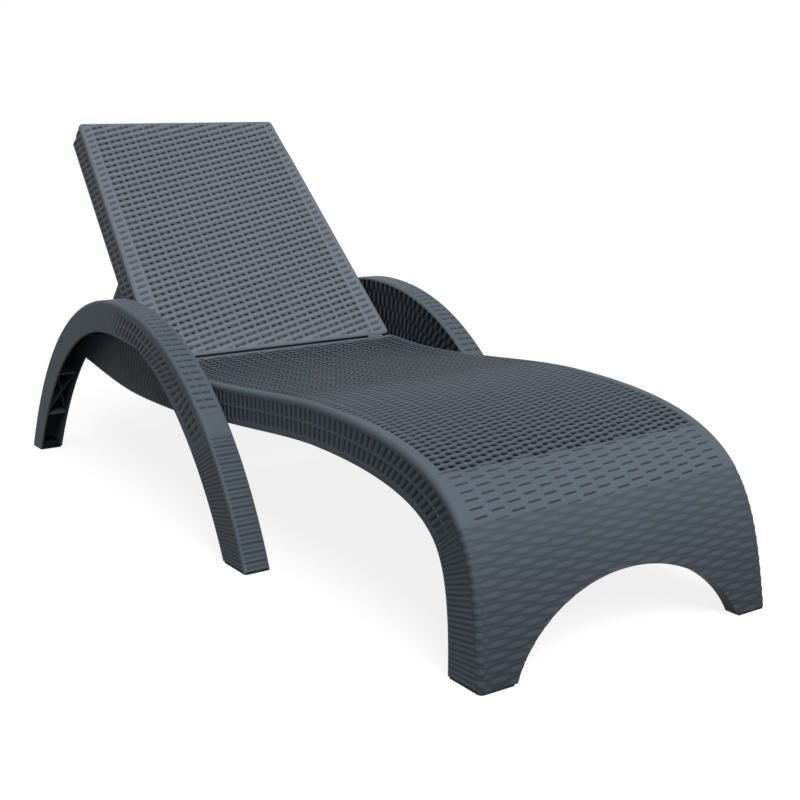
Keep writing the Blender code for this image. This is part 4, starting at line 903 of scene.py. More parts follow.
def seat_side(side):
    """Lip, rounded edge and skirt, swept from the floor to the hinge.

    In the foot end the stations are the rows of the panel, so that the edges meet, and the
    lip is only a tongue under the closed panels.
    """
    rest = np.arange(KNEE_START + 0.0018, SEAT.length - 0.002, STATION)
    s = np.concatenate([leg_s, panel_s[1:], rest, [SEAT.length]])[:, None]
    lip = np.linspace(0, 1, 9)[None, :]
    _, z = SEAT.at(s, 0)
    closed = s < DECK_START
    strip = np.where(closed, SEAT_ROUND + 0.002, seat_half(z) - FIELD)
    deep = skirt_depth(s)
    one = np.ones_like(s)
    down = SEAT_ROUND + (deep - LIFT - SEAT_ROUND) * np.linspace(0, 1, 34)[None, 1:-1]
    inset, depth, push_in, push_deep, walked = profile(
        (strip * (1 - lip) + SEAT_ROUND * lip, TONGUE * closed * (lip < 1), 0.0, 1.0),
        quarter(one, SEAT_ROUND, 10, flat=True),
        (0.0, down, 1.0, 0.0),
        hem(one, deep, SEAT_WALL),
        (one * (SEAT_WALL, SEAT_WALL), one * (0.040, SEAT_ROUND), 0.0, 0.0),
        (one * CORNER_IN, one * CORNER_DEEP, 0.0, 0.0),
        (one * SEAT_ROUND, one * SEAT_WALL, 0.0, 0.0),
        (strip, one * (SEAT_WALL - 0.0003), 0.0, 0.0),
    )
    above = closed_sink(seat_half(z) - inset, s) * fall(walked, strip + 0.014, 0.005)
    above = above + strip_sink(side, s) * rise(inset, SEAT_ROUND + 0.001, 0.004)
    aside = skirt_relief(s, depth, deep) * rise(walked, strip + 0.004, 0.006)
    relief = np.maximum(above, aside) + FACE_SET
    relief = relief * ((push_in != 0) | (push_deep != 0))
    inset, depth = inset + relief * push_in, depth + relief * push_deep
    y, z = SEAT.at(s, depth)
    loops = np.stack([side * (seat_half(z) - inset), y, z], axis=-1)
    face, skirt = smooth(push_deep / 0.8), smooth(push_in / 0.8)
    # painted shade in the pits, behind the crest, towards the floor and on the skirts; painted
    # highlight on the crests
    tone = tone_of(relief) * (1 - face) + deck_shade(tone_of(relief), y) * face
    side_shade = SKIRT_SHADE * rise(s, 0.1, 0.2) * skirt
    return skin(loops), deepen(tone, floor_shade(s) * face + side_shade)


for word, side in SIDES.items():
    shape, tone = seat_side(side)
    piece(f"seat_side_{word}", shape, WOVEN, "frame", "seat_shell", tone)

# %% [markdown]
# ## Under the seat
#
# A shell of five millimetres would sag over sixty centimetres. Moulders put thin ribs across
# and along it, deep enough to be stiff and thin enough not to sink on the face above. They
# lie where the CAD has them. The rear end closes with a wall that carries the hinge cheeks,
# and four posts take the screws of the rails.

# %% Ribs, brackets and posts
SEAT_RIBS = (0.1944, 0.3753, 0.5288, 0.6652, 0.8140, 1.0308, 1.1348, 1.2968)
SEAT_RIB, RIB_DEEP, SPINE_DEEP = 0.004, 0.034, 0.030
SEAT_SPINES, SPINES_START = (0.105, 0.2085), 0.351


def seat_rib(s):
    """A cross rib between the skirts, at right angles to the deck."""
    spots = np.array([SEAT.at(s + ahead, 0) for ahead in (-SEAT_RIB / 2, SEAT_RIB / 2)])
    into = np.array(SEAT.at(s, 1.0)) - np.array(SEAT.at(s, 0.0))
    near, far = spots + (SEAT_WALL - TUCK) * into, spots + RIB_DEEP * into
    section = np.vstack([near, far[::-1]])
    half = seat_half(section[:, 1]) - SEAT_WALL + TUCK
    return skin(np.array([np.column_stack([side * half, section]) for side in (-1, 1)]))


def seat_spine(x):
    """A rib along the deck."""
    s = np.linspace(SPINES_START, SEAT.length - 0.007, 60)
    corners = rectangle(-SEAT_RIB / 2, SEAT_RIB / 2, SEAT_WALL - TUCK, SPINE_DEEP)
    return skin(np.stack([on_seat(x + way, s, depth) for way, depth in corners], axis=1))


def rounded_bracket(centre, root, radius, spread, steps=16):
    """Outline of a plate with a round end at centre, widening to a root line."""
    centre, root = np.array(centre, float), np.array(root, float)
    away = (centre - root) / np.linalg.norm(centre - root)
    across = np.array((-away[1], away[0]))
    turns = np.linspace(-math.pi / 2, math.pi / 2, steps)[:, None]
    end = centre + radius * (np.cos(turns) * away + np.sin(turns) * across)
    return np.vstack([end, root + spread * across, root - spread * across])


def circle(centre, radius, steps=24):
    """Even points on a circle."""
    turns = np.linspace(0, math.tau, steps, endpoint=False)
    return np.array(centre) + radius * rays(turns)


def post(x, y, radius, low, high):
    """An upright cylinder."""
    return bar(circle((x, y), radius), low, high, axis=2)


# %% Rear edge, and the pieces under the deck
REAR_WALL, REAR_THICK, REAR_TOP, REAR_ROUND = 1.198, 0.005, 0.3315, 0.004
PIN_HOLE, CHEEK, CHEEK_THICK, CHEEKS = 0.0053, 0.0113, 0.0057, (0.2470, 0.2933)
POSTS, POST_RADIUS, POST_LOW, POST_TOP = (1.035, 1.150), 0.011, 0.2589, 0.004

rear_s = np.linspace(DECK_END - 0.0005, SEAT.length - REAR_ROUND, 6)
turns = np.linspace(0, math.pi / 2, 7)
round_s = SEAT.length - REAR_ROUND + REAR_ROUND * np.sin(turns)
edge_s = np.concatenate([rear_s, round_s, [SEAT.length, rear_s[0]]])
round_d = REAR_ROUND * (1 - np.cos(turns))
edge_d = np.concatenate([0 * rear_s, round_d, [SEAT_WALL, SEAT_WALL]])
rear_edge = bar(np.column_stack(SEAT.at(edge_s, edge_d)), -FIELD, FIELD)
gap = np.tile(rise(edge_s, SEAT.length - 0.0065, 0.004), 2)  # no light falls into the gap
piece("seat_rear_edge", rear_edge, WOVEN, "frame", "seat_shell", gap)

wall_low = SEAT.at(SEAT.length, skirt_depth(SEAT.length))[1] + 0.002
wall_half = seat_half(0.29) - SEAT_WALL
rear_wall = rectangle(REAR_WALL - REAR_THICK, REAR_WALL, wall_low, REAR_TOP)
parts = [bar(rear_wall, -wall_half, wall_half)]
parts += [seat_rib(s) for s in SEAT_RIBS]
parts += [seat_spine(side * x) for x in SEAT_SPINES for side in (-1, 1)]
parts += [
    post(side * SEAT_SPINES[-1], y, POST_RADIUS, POST_LOW, np.interp(y, *SEAT.points.T) - POST_TOP)
    for side in (-1, 1)
    for y in POSTS
]
cheek = rounded_bracket(HINGE, (REAR_WALL - 0.0025, HINGE[1]), CHEEK, CHEEK)
parts += [
    ring_plate(cheek, HINGE, PIN_HOLE, side * x, side * (x + CHEEK_THICK))
    for side in (-1, 1)
    for x in CHEEKS
]
piece("seat_ribs", gather(parts), PLAIN, "frame", "seat_shell")

# %% [markdown]
# ## The back in its own plane
#
# The back is a flat tray, so it is drawn flat: x across, u up its face, d behind the face.
# Two turns of a sine and a cosine put it on the hinge at the angle of the photo. The frame
# makes it move from there.

# %% The back's plane
BACK_LONG, BACK_HALF, BACK_TOP = 0.725, 0.3165, 0.273
BACK_WALL = 0.0045


def on_back(x, u, d):
    """The hinge, plus the turned distance along the face and off the face."""
    along, off = u + HINGE_BELOW, HINGE_BEHIND - d
    y = HINGE[0] + along * math.cos(BACK_ANGLE) - off * math.sin(BACK_ANGLE)
    z = HINGE[1] + along * math.sin(BACK_ANGLE) + off * math.cos(BACK_ANGLE)
    return np.stack(np.broadcast_arrays(x, y, z), axis=-1)


def back_half(u):
    """Half the width of the back, which gets narrower upwards."""
    return BACK_HALF + (BACK_TOP - BACK_HALF) * u / BACK_LONG


print("Top of the back:", np.round(on_back(0, BACK_LONG, 0), 3).tolist())

# %% [markdown]
# ## Its woven face
#
# Fourteen bays fan out from the top to the bottom, because the back tapers. Outside them a
# narrower strip at each side is closed and has short dashes only. The holes are blind, as
# nothing white shows through them in the photo. The plate is a millimetre wider than the
# opening in the rim, and lies a little lower, so its edge is hidden.

# %% Back plate
FAN, FAN_LOW, FAN_HIGH = 14, 0.2695, 0.2450  # bays, and half their width below and above
RIM_WIDE, RIM_LAP = 0.0085, 0.001
BACK_ROWS = 39
plate_low, plate_high = RIM_WIDE - RIM_LAP, BACK_LONG - RIM_WIDE + RIM_LAP
BACK_PITCH = (plate_high - plate_low) / BACK_ROWS
BACK_WEAVE = {"deep": 0.0029, "rib": 0.0002, "bulge": 0.0004, "sharp": 1.5, "rib_wide": 0.055}
BACK_DASH = 0.0021
HOLES_FROM, HOLES_TO = 0.058, 0.672
BACK_HOLE, POCKET = (0.0042, 0.0020), 0.0042  # radii across and along, and depth
# painted highlight on the crests of the back's bands, as a share of the darkest tone
BACK_CREST_HIGHLIGHT = 0.22


def back_up(b):
    """The height up the back at which a row lies."""
    return plate_low + b * BACK_PITCH


def back_place(a, b, depth):
    """The first and the last bay are the closed strips; those between share the fan."""
    u = back_up(b)
    full = back_half(u) - RIM_WIDE + RIM_LAP
    fan = np.interp(u, (0, BACK_LONG), (FAN_LOW, FAN_HIGH))
    bays = a - (FAN + 2) / 2
    inner = np.clip(bays, -FAN / 2, FAN / 2)
    x = inner * fan / (FAN / 2) + (bays - inner) * (full - fan)
    return on_back(x, u, depth)


def back_sink(a, b):
    """Bands in the fan and dashes in the strips, fading out at both ends."""
    u = back_up(b)
    woven = band_sink(a, b, middle=0.60, slope=BACK_SLOPE, **BACK_WEAVE)
    dash = wave(b - staircase(a, BACK_SLOPE)) ** 2 * between(a % 1.0, *DASH_ENDS, 0.12)
    dash = BACK_DASH * dash
    edge = between(u, plate_low + RIM_LAP, plate_high - RIM_LAP, 0.004)
    return np.where((a < 1) | (a > FAN + 1), dash, woven) * edge + FACE_SET


def back_holed(a, b):
    """Whether a pocket's centre lies in the fan and away from its ends."""
    u = back_up(b)
    return (u > HOLES_FROM) & (u < HOLES_TO) & (a > 1) & (a < FAN + 1)


back_cell = (0.0368, BACK_PITCH)  # at the middle of the back's height
back_grid = lattice(FAN + 2, BACK_ROWS, back_cell, BACK_HOLE, back_holed, BACK_SLOPE)
last = BACK_ROWS * ROW_LINES
shape, tone = perforated(
    back_grid, back_place, back_sink, BACK_WALL, 0, last, BACK_CREST_HIGHLIGHT, pocket=POCKET
)
piece("back_face", shape, WOVEN_LIT_BACK, "back", "backrest_shell", tone)

# %% [markdown]
# ## Its rim and skirts
#
# The outline is four straight sides and four small arcs. Each of its points carries the
# direction out of the tray, so the profile can be set off from it. Straight sides need
# only the direction of their ends, and the stations are spread evenly over the whole way.

# %% Back rim
BACK_COURSES = ((0.011, 0.0385), (0.0405, 0.067))
BACK_CUT, BACK_STROKE = (0.0024, 1.2), 0.0178  # depth and sharpness of the slots, and pitch
BACK_DEEP, BACK_CORNER = 0.070, 0.012
RIM_SET = 0.0003  # keeps the rim just inside the CAD's outline


def back_outline(step=0.0021):
    """Points of the outline and their outward directions, at even distances."""
    slope = math.atan2(BACK_HALF - BACK_TOP, BACK_LONG)
    spots = []
    for side, u, first, last in (
        (1, 0, -math.pi / 2, slope),
        (1, BACK_LONG, slope, math.pi / 2),
        (-1, BACK_LONG, math.pi / 2, math.pi - slope),
        (-1, 0, math.pi - slope, 1.5 * math.pi),
    ):
        up = BACK_CORNER if u == 0 else -BACK_CORNER
        centre = (side * (back_half(u + up) - BACK_CORNER / math.cos(slope)), u + up)
        turns = np.linspace(first, last, 9)
        spots.append(np.column_stack([centre + BACK_CORNER * rays(turns), rays(turns)]))
    spots = np.vstack([*spots, spots[0][:1]])
    walk = running(spots[:, :2])
    even = np.linspace(0, walk[-1], int(walk[-1] / step), endpoint=False)
    return even, np.column_stack([np.interp(even, walk, spots[:, k]) for k in range(4)])


def back_rim():
    """Lip, rounded edge, slotted skirt and hem, carried round the outline.

    The edge is sharper along the bottom. There the skirt carries painted shade, as it closes the
    gap.
    """
    even, spots = back_outline()
    one = np.ones((len(even), 1))
    radius = 0.0038 + 0.0032 * rise(spots[:, 1:2], 0.55, 0.12)
    down = radius + (BACK_DEEP - LIFT - radius) * np.linspace(0, 1, 28)[None, 1:-1]
    inset, depth, push_in, push_deep, _ = profile(
        (RIM_WIDE + (radius - RIM_WIDE) * np.linspace(0, 1, 4)[None, :-1], 0.0, 0.0, 1.0),
        quarter(one, radius, 9, flat=True),
        (0.0, down, 1.0, 0.0),
        hem(one, BACK_DEEP, BACK_WALL),
        (one * (BACK_WALL, BACK_WALL, 0.0062), one * (0.035, 0.0070, 0.0052), 0.0, 0.0),
        (one * RIM_WIDE, one * BACK_WALL, 0.0, 0.0),
    )
    strokes = slots(even[:, None] + 0.5 * depth, depth, BACK_STROKE, BACK_COURSES, *BACK_CUT)
    relief = strokes * (push_in > 0) + RIM_SET * (push_in + push_deep > 0)
    inset, depth = inset + relief * push_in, depth + relief * push_deep
    x = spots[:, :1] - inset * spots[:, 2:3]
    u = spots[:, 1:2] - inset * spots[:, 3:4]
    # painted shade on the skirt along the bottom, where it closes the gap
    gap = fall(u, 0.004, 0.003) * (push_in > 0.9)
    return hoop(on_back(x, u, depth)), deepen(tone_of(relief), gap)


shape, tone = back_rim()
piece("back_rim", shape, WOVEN_LIT_BACK, "back", "backrest_shell", tone)

# %% Behind the back: ribs, knuckles, brackets, bosses
WIDE_RIBS, SHORT_RIBS = (0.1103, 0.2207, 0.8966), (0.3448, 0.4690, 0.5931, 0.7172, 0.8138)
BACK_SPINES, BACK_RIB = (0.085, 0.248), 0.0035
BACK_RIB_DEEP, BACK_SPINE_DEEP = 0.038, 0.0395
PIVOT, PIVOT_HOLE = (0.3545 * BACK_LONG, 0.035), 0.0063
KNUCKLE, BRACKET, BRACKET_ROOT, BOSS = 0.023, 0.0155, 0.026, 0.0125
KNUCKLE_X, BRACKET_X, BOSS_X = (0.253, 0.293), (0.2705, 0.2760), 0.2945


def back_block(x, u, deep):
    """A box behind the face, from pairs of lowest and highest x and u."""
    corners = rectangle(*x, BACK_WALL - TUCK, deep)
    loops = [[(across, along, depth) for across, depth in corners] for along in u]
    return skin(on_back(*np.moveaxis(np.array(loops), -1, 0)))


def back_plate(outline, centre, radius, low, high):
    """A ring plate drawn in u and d, put on the back."""
    points, faces = ring_plate(np.array(outline), np.array(centre), radius, low, high)
    return on_back(*points.T), faces


parts = []
for share in WIDE_RIBS + SHORT_RIBS:
    u = share * BACK_LONG
    half = back_half(u) - BACK_WALL + TUCK if share in WIDE_RIBS else BACK_SPINES[-1]
    parts.append(back_block((-half, half), (u - BACK_RIB / 2, u + BACK_RIB / 2), BACK_RIB_DEEP))
for x in BACK_SPINES:
    for side in (-1, 1):
        edges = (side * x - BACK_RIB / 2, side * x + BACK_RIB / 2)
        ends = (BACK_WALL - TUCK, BACK_LONG - BACK_WALL + TUCK)
        parts.append(back_block(edges, ends, BACK_SPINE_DEEP))
hinge = (-HINGE_BELOW, HINGE_BEHIND)
knuckle = rounded_bracket(hinge, (0.002, HINGE_BEHIND), KNUCKLE, KNUCKLE, 24)
bracket = rounded_bracket(PIVOT, (PIVOT[0], 0.002), BRACKET, BRACKET_ROOT)
boss, boss_x = circle(PIVOT, BOSS, 28), (BOSS_X, back_half(PIVOT[0]) - 0.003)
for side in (-1, 1):
    for outline, centre, radius, ends in (
        (knuckle, hinge, PIN_HOLE, KNUCKLE_X),
        (bracket, PIVOT, PIVOT_HOLE, BRACKET_X),
        (boss, PIVOT, PIVOT_HOLE, boss_x),
    ):
        parts.append(back_plate(outline, centre, radius, *(side * x for x in ends)))
piece("back_ribs", gather(parts), PLAIN, "back", "backrest_shell")

# %% [markdown]
# ## The arms
#
# Each arm is an arched channel, open on its hollow side. Two lines describe it: the outer
# one, and the hollow one under it. Points of both are matched by their share of the length,
# crown to crown, and the direction into the arm is from one to the other. The inner wall
# goes further down in the middle, to the web that the seat is bolted to.

# %% Arm lines
ARM_IN, ARM_OUT, ARM_WALL, ARM_ROUND = 0.3225, 0.3809, 0.0045, 0.008
ARM_FEET, ARM_CROWN = ((0.688, LEG_BASE), (1.900, LEG_BASE)), (1.305, 0.4633)
HOLLOW_FEET, HOLLOW_CROWN = ((0.782, LEG_BASE), (1.838, LEG_BASE)), (1.1901, 0.3784)
# The curve's handles: length and lean in degrees at the front foot, lengths before and after
# the crown, length and lean at the rear foot
ARM_HANDLES = ((0.2439, 21.6), 0.3385, 0.1213, (0.4540, 24.4))
HOLLOW_HANDLES = ((0.3185, 25.7), 0.0414, 0.1062, (0.5353, 28.2))
WEB = ((0.985, 0.247), (1.350, 0.237), (1.350, 0.237), (1.620, 0.279))
WEB_REACH = 0.200


def arch_line(feet, crown, front_way, before, after, rear_way):
    """Two cubic curves that meet level at the crown: the first one, and both."""
    toe = polar(feet[0], front_way[0], math.radians(front_way[1]))
    heel = polar(feet[1], rear_way[0], -math.radians(rear_way[1]))
    up = bezier(feet[0], toe, moved(crown, -before), crown)
    return up, np.vstack([up, bezier(crown, moved(crown, after), heel, feet[1])[1:]])


def arm_track():
    """The outer line, its direction to the hollow line, and how deep the two walls are."""
    _, outer = arch_line(ARM_FEET, ARM_CROWN, *ARM_HANDLES)
    up, hollow = arch_line(HOLLOW_FEET, HOLLOW_CROWN, *HOLLOW_HANDLES)
    share, hollow_share = (running(line) / running(line)[-1] for line in (outer, hollow))
    outer_crown = share[np.hypot(*(outer - up[-1]).T).argmin()]
    matched = np.interp(share, (0, outer_crown, 1), (0, hollow_share[len(up) - 1], 1))
    inside = np.column_stack([np.interp(matched, hollow_share, hollow[:, k]) for k in (0, 1)])
    track = Track(outer, inside - outer)
    deep = np.hypot(*(inside - outer).T)
    web = bezier(*WEB)
    steps = np.linspace(0, WEB_REACH, 400)
    spots = inside[:, None, :] + track.into[:, None, :] * steps[None, :, None]
    low = spots[..., 1] <= np.interp(spots[..., 0], web[:, 0], web[:, 1])
    over = (spots[..., 0] > WEB[0][0]) & (spots[..., 0] < WEB[3][0])
    extra = np.where(over[:, 0] & ~low[:, 0], steps[np.argmax(over & low, axis=1)], 0)
    return track, deep, deep + extra


ARM, arm_deep, arm_web = arm_track()
print(f"Arm line: {ARM.length:.3f} m, wall {1000 * arm_deep.min():.0f} mm deep at least")


def on_arm(side, x, s, depth):
    """Points of an arm: across by x, along by s, into it by depth."""
    return np.stack(np.broadcast_arrays(side * x, *ARM.at(s, depth)), axis=-1)


# %% [markdown]
# ## Reliefs of the arm
#
# The front leg has ribs right across its face. Higher up they turn into two columns of thin
# slots, which fade out before the crown, where a hand rests. The outer side has slots in two
# courses, and the web has slots laid like bricks, whose folds show on its outer side too.
# The rear half is smooth.

# %% Reliefs by side
ARM_PITCH, SIDE_PITCH = 0.01875, 0.019
TOP_COLUMNS = ((0.0050, 0.0240), (0.0235, 0.0490))
SIDE_COURSES, SIDE_MIDDLE = ((0.021, 0.0455), (0.0465, 0.073)), 0.047
WEB_COURSE, WEB_PITCH = 0.034, 0.0215
ARM_SHADE = 0.15  # painted shade: the arms are made a little darker than the deck
FOLD_SHADE = 2.2  # a fold seen from outside lies in shade, so its tone is darker than its depth
INNER_ROUND = 0.0075  # the channel's inner corners
ARM_WIDE = ARM_OUT - ARM_IN
EDGE = 0.004  # a relief fades over this way at the edges of its side
# How deep each relief is, and how sharp
TOP_CUT, SIDE_CUT, WEB_CUT, FOLD_CUT = (0.0019, 4.0), (0.0023, 1.9), (0.0028, 0.55), (0.0012, 0.8)
TOP_RIB, LEG_RIB, RIBS_END = 0.0018, 0.0016, 0.30
# Along the arm: where slots begin and end, and over which ways they fade in and out
TOP_SLOTS, SIDE_SLOTS = (0.33, 0.80, 0.03, 0.20), (0.27, 0.86, 0.05, 0.12)
WEB_SLOTS = (0.38, 1.25, 0.05, 0.10)
SMOOTH_FROM = 0.95  # the smooth rear of the arm needs fewer stations


def arm_relief(s, deep, web, inset, depth, push_in, push_deep):
    """Ribs by side: outer wall, top and inner wall are told apart by where the push points."""
    outer = (push_in > 0.5) * rise(depth, 0.006, 0.006)
    inner = (push_in < -0.5) * between(depth, EDGE, web, EDGE)
    top = (push_deep > 0.5) * between(inset, 0.003, ARM_WIDE - 0.003, EDGE)
    columns = slots(s, inset, ARM_PITCH, TOP_COLUMNS, *TOP_CUT) * between(s, *TOP_SLOTS)
    face = fine_ribs(s, ARM_PITCH / 2, TOP_RIB) * fall(s, RIBS_END, 0.03) + columns
    lean = np.interp(s, (0.0, 0.40, 0.48, 2.0), (0.0, 0.0, 0.9, 0.9))
    along = s - lean * (depth - SIDE_MIDDLE)
    courses = slots(along, depth, SIDE_PITCH, SIDE_COURSES, *SIDE_CUT) * between(s, *SIDE_SLOTS)
    leg = fine_ribs(s, ARM_PITCH / 2, LEG_RIB)
    side_face = leg * fall(depth, deep, EDGE) * fall(s, RIBS_END, 0.05) + courses
    bricks = brick_sink(s / WEB_PITCH, depth, WEB_COURSE, *WEB_CUT) * between(s, *WEB_SLOTS)
    web_face = bricks + leg * fall(s, 0.42, 0.06)
    return top * face + outer * side_face + inner * web_face


# %% Arm channel
def arm_channel(side):
    """Outer wall, rounded top and inner wall with their thickness, as one closed sweep."""
    fine, coarse = np.arange(0, SMOOTH_FROM, STATION), np.linspace(SMOOTH_FROM, ARM.length, 110)
    s = np.concatenate([fine, coarse])[:, None]
    one = np.ones_like(s)
    deep, web = np.interp(s, ARM.run, arm_deep), np.interp(s, ARM.run, arm_web)
    share, hidden = np.linspace(0, 1, 28)[None, 1:-1], np.linspace(0, 1, 26)[None, 1:]
    mirror = slice(None, None, -1)
    curve_in, curve_deep, way_in, way_deep = quarter(one, ARM_ROUND, 8)
    hem_in, hem_deep, _, _ = hem(one, deep, ARM_WALL)
    web_in, web_deep, _, _ = hem(one, web, ARM_WALL)
    far, corner = ARM_WIDE - ARM_WALL, INNER_ROUND
    inset, depth, push_in, push_deep, _ = profile(
        (hem_in[:, mirror], hem_deep[:, mirror], 0.0, 0.0),
        (0.0, (deep - LIFT) * (1 - share) + ARM_ROUND * share, 1.0, 0.0),
        (curve_in, curve_deep, way_in, way_deep),
        (one * np.linspace(ARM_ROUND, ARM_WIDE - ARM_ROUND, 22)[None, 1:-1], 0.0, 0.0, 1.0),
        [
            ARM_WIDE - curve_in[:, mirror],
            curve_deep[:, mirror],
            -way_in[:, mirror],
            way_deep[:, mirror],
        ],
        (ARM_WIDE, ARM_ROUND * (1 - share) + (web - LIFT) * share, -1.0, 0.0),
        (ARM_WIDE - web_in, web_deep, 0.0, 0.0),
        (far, (web - LIFT) * (1 - hidden) + (deep - 0.010) * hidden, 0.0, 0.0),
        (one * far, one * corner, 0.0, 0.0),
        (one * (ARM_WIDE - corner), one * ARM_WALL, 0.0, 0.0),
        (one * corner, one * ARM_WALL, 0.0, 0.0),
        (one * ARM_WALL, one * corner, 0.0, 0.0),
        (one * ARM_WALL, deep * 0.5 + 0.004, 0.0, 0.0),
    )
    relief = arm_relief(s, deep, web, inset, depth, push_in, push_deep)
    behind = (inset == far) & (depth > 0.008)
    folds = brick_sink(s / WEB_PITCH, depth, WEB_COURSE, *FOLD_CUT)
    folds = folds * behind * between(depth, deep - 0.002, web, EDGE)
    shifted = inset + relief * push_in + folds
    loops = on_arm(side, ARM_OUT - shifted, s, depth + relief * push_deep)
    # painted shade: darker in deep places and folds, and over the whole arm
    return skin(loops), deepen(tone_of(relief + FOLD_SHADE * folds), ARM_SHADE)


for word, side in SIDES.items():
    shape, tone = arm_channel(side)
    piece(f"arm_channel_{word}", shape, WOVEN, "frame", f"arm_{word}", tone)

# %% [markdown]
# ## Inside the arms
#
# Walls across the channel keep its sides apart, and crossed ribs stiffen the legs. Between
# the arms and the rails runs an open beam, and three bosses on each arm meet the seat.

# %% Walls, crosses, beams and bosses
DIAPHRAGMS = (0.1248, 0.3461, 0.5848, 0.7285, 0.8729, 1.0534, 1.3021, 1.4805)
CROSSES = ((0.1248, 0.3461), (1.3021, 1.4805))
WALL_THICK, CROSS_THICK = 0.0035, 0.0027
IN_FACE, OUT_FACE = ARM_IN + ARM_WALL - TUCK, ARM_OUT - ARM_WALL + TUCK
BEAM_IN, BEAM_FRONT, BEAM_REAR, BEAM_TOP, BEAM_WALL = 0.2323, 1.300, 1.380, 0.2645, 0.004
BEAM_LOW_IN, BEAM_LOW_OUT = 0.231, 0.249
BOSS_HIGH, BOSS_RADIUS, BOSSES = 0.300, 0.0095, (0.920, 0.962, 1.004)
BOSS_AIR = 0.0006  # between the boss and the skirt


def diaphragm(side, s):
    """A wall across the channel."""
    deep = float(np.interp(s, ARM.run, arm_deep)) - 0.003
    ends = rectangle(-WALL_THICK / 2, WALL_THICK / 2, ARM_WALL - TUCK, deep)
    section = [ARM.at(s + ahead, depth) for ahead, depth in ends]
    return bar(section, side * IN_FACE, side * OUT_FACE)


def diagonal(side, pair, flip):
    """One rib of a cross, from the inner wall at one diaphragm to the outer at the next."""
    s = np.linspace(*pair, 24)
    x = np.linspace(*((OUT_FACE, IN_FACE) if flip else (IN_FACE, OUT_FACE)), 24)
    deep = np.interp(s, ARM.run, arm_deep) - 0.006
    corners = rectangle(s - CROSS_THICK / 2, s + CROSS_THICK / 2, ARM_WALL - TUCK, deep)
    return skin(np.stack([on_arm(side, x, place, depth) for place, depth in corners], axis=1))


def beam(side):
    """The outrigger: a top and two sides, open below, tapering towards the arm."""
    front, rear, top, wall = BEAM_FRONT, BEAM_REAR, BEAM_TOP, BEAM_WALL
    outline = []
    for x, base in ((BEAM_IN, BEAM_LOW_IN), (ARM_IN + TUCK, BEAM_LOW_OUT)):
        spots = [(front, base), (front, top), (rear, top), (rear, base), (rear - wall, base)]
        spots += [(rear - wall, top - wall), (front + wall, top - wall), (front + wall, base)]
        outline.append([(side * x, *spot) for spot in spots])
    return skin(np.array(outline))


def beam_end(side):
    """The plate that closes the beam's inner end, inside its walls."""
    front, rear, high = BEAM_FRONT + BEAM_WALL, BEAM_REAR - BEAM_WALL, BEAM_TOP - 0.0035
    section = [(front, BEAM_LOW_IN), (front, high), (rear, high), (rear, BEAM_LOW_IN)]
    return bar(section, side * BEAM_IN, side * (BEAM_IN + BEAM_WALL))


def arm_boss(side, y):
    """A spacer between the arm and the seat's skirt."""
    section = circle((y, BOSS_HIGH), BOSS_RADIUS)
    return bar(section, side * (seat_half(BOSS_HIGH) + BOSS_AIR), side * (ARM_IN + TUCK))


for word, side in SIDES.items():
    parts = [diaphragm(side, s) for s in DIAPHRAGMS]
    parts += [diagonal(side, pair, flip) for pair in CROSSES for flip in (False, True)]
    parts += [beam(side), beam_end(side)]
    parts += [arm_boss(side, y) for y in BOSSES]
    piece(f"arm_ribs_{word}", gather(parts), PLAIN, "frame", f"arm_{word}")

# %% [markdown]
# ## Foot pads of the seat
#
# The pads under the seat's legs follow its walls: one arm of the angle lies under the front
# panel and its flange, the other under the skirt. From in front only a dark line and a
# small corner beside the arch show.

# %% Angle pads
PAD_FRONT, PAD_BACK, PAD_IN, PAD_OUT = 0.0012, 0.0832, 0.2610, 0.3298
PAD_ARM, PAD_SIDE, PAD_HIGH = 0.028, 0.010, 0.003


def angle_pad(side):
    """An L in plan, kept just inside the leg's outline, with the leg's rounded corner."""
    turns = np.linspace(0, math.pi / 2, 7)
    corner = np.column_stack([np.sin(turns), 1 - np.cos(turns)]) * SEAT_ROUND
    spots = [(PAD_IN, PAD_FRONT), *(corner + (PAD_OUT - SEAT_ROUND, PAD_FRONT))]
    spots += [(PAD_OUT, PAD_BACK), (PAD_OUT - PAD_SIDE, PAD_BACK)]
    spots += [(PAD_OUT - PAD_SIDE, PAD_FRONT + PAD_ARM), (PAD_IN, PAD_FRONT + PAD_ARM)]
    return bar([(side * x, y) for x, y in spots], 0.0, PAD_HIGH, axis=2)


for word, side in SIDES.items():
    node = f"foot_pad_{word}"
    piece(f"angle_pad_{word}", angle_pad(side), RUBBER, "frame", node, bevel=0.0006)

# %% [markdown]
# ## Finishes of the CAD parts that stay
#
# The prop, the rails and their tie are darker resin without relief. The pads are rubber.
# Bolts, nuts, screws and pins are zinc plated: a metal whose crystals show as faint flecks,
# which a cell texture gives to the colour and the roughness.


# %% Zinc, and who gets what
def map_range(tree, value, low, high):
    """A value from 0 to 1, spread from low to high."""
    spread = {"Value": value, "To Min": low, "To Max": high}
    return add_node(tree, "ShaderNodeMapRange", spread).outputs["Result"]


def zinc_plate():
    """A metal whose roughness and colour change from cell to cell."""
    material, tree, shader = new_material("zinc plate")
    cells = {"Vector": object_place(tree), "Scale": 420}
    flecks = add_node(tree, "ShaderNodeTexVoronoi", cells).outputs["Color"]
    rough, colour = map_range(tree, flecks, 0.28, 0.44), map_range(tree, flecks, 0.50, 0.60)
    feed(tree, shader, {"Roughness": rough, "Base Color": colour, "Metallic": 1.0})
    return material


ZINC = zinc_plate()
for name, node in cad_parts.items():
    finish = ZINC
    if "_pad_" in name:
        finish = RUBBER
    elif name.startswith(("prop_frame", "rail_left", "rail_right", "rail_tie")):
        finish = DARK
    for place in node.material_slots:
        place.material = finish
print("Finishes given to", len(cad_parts), "CAD nodes")

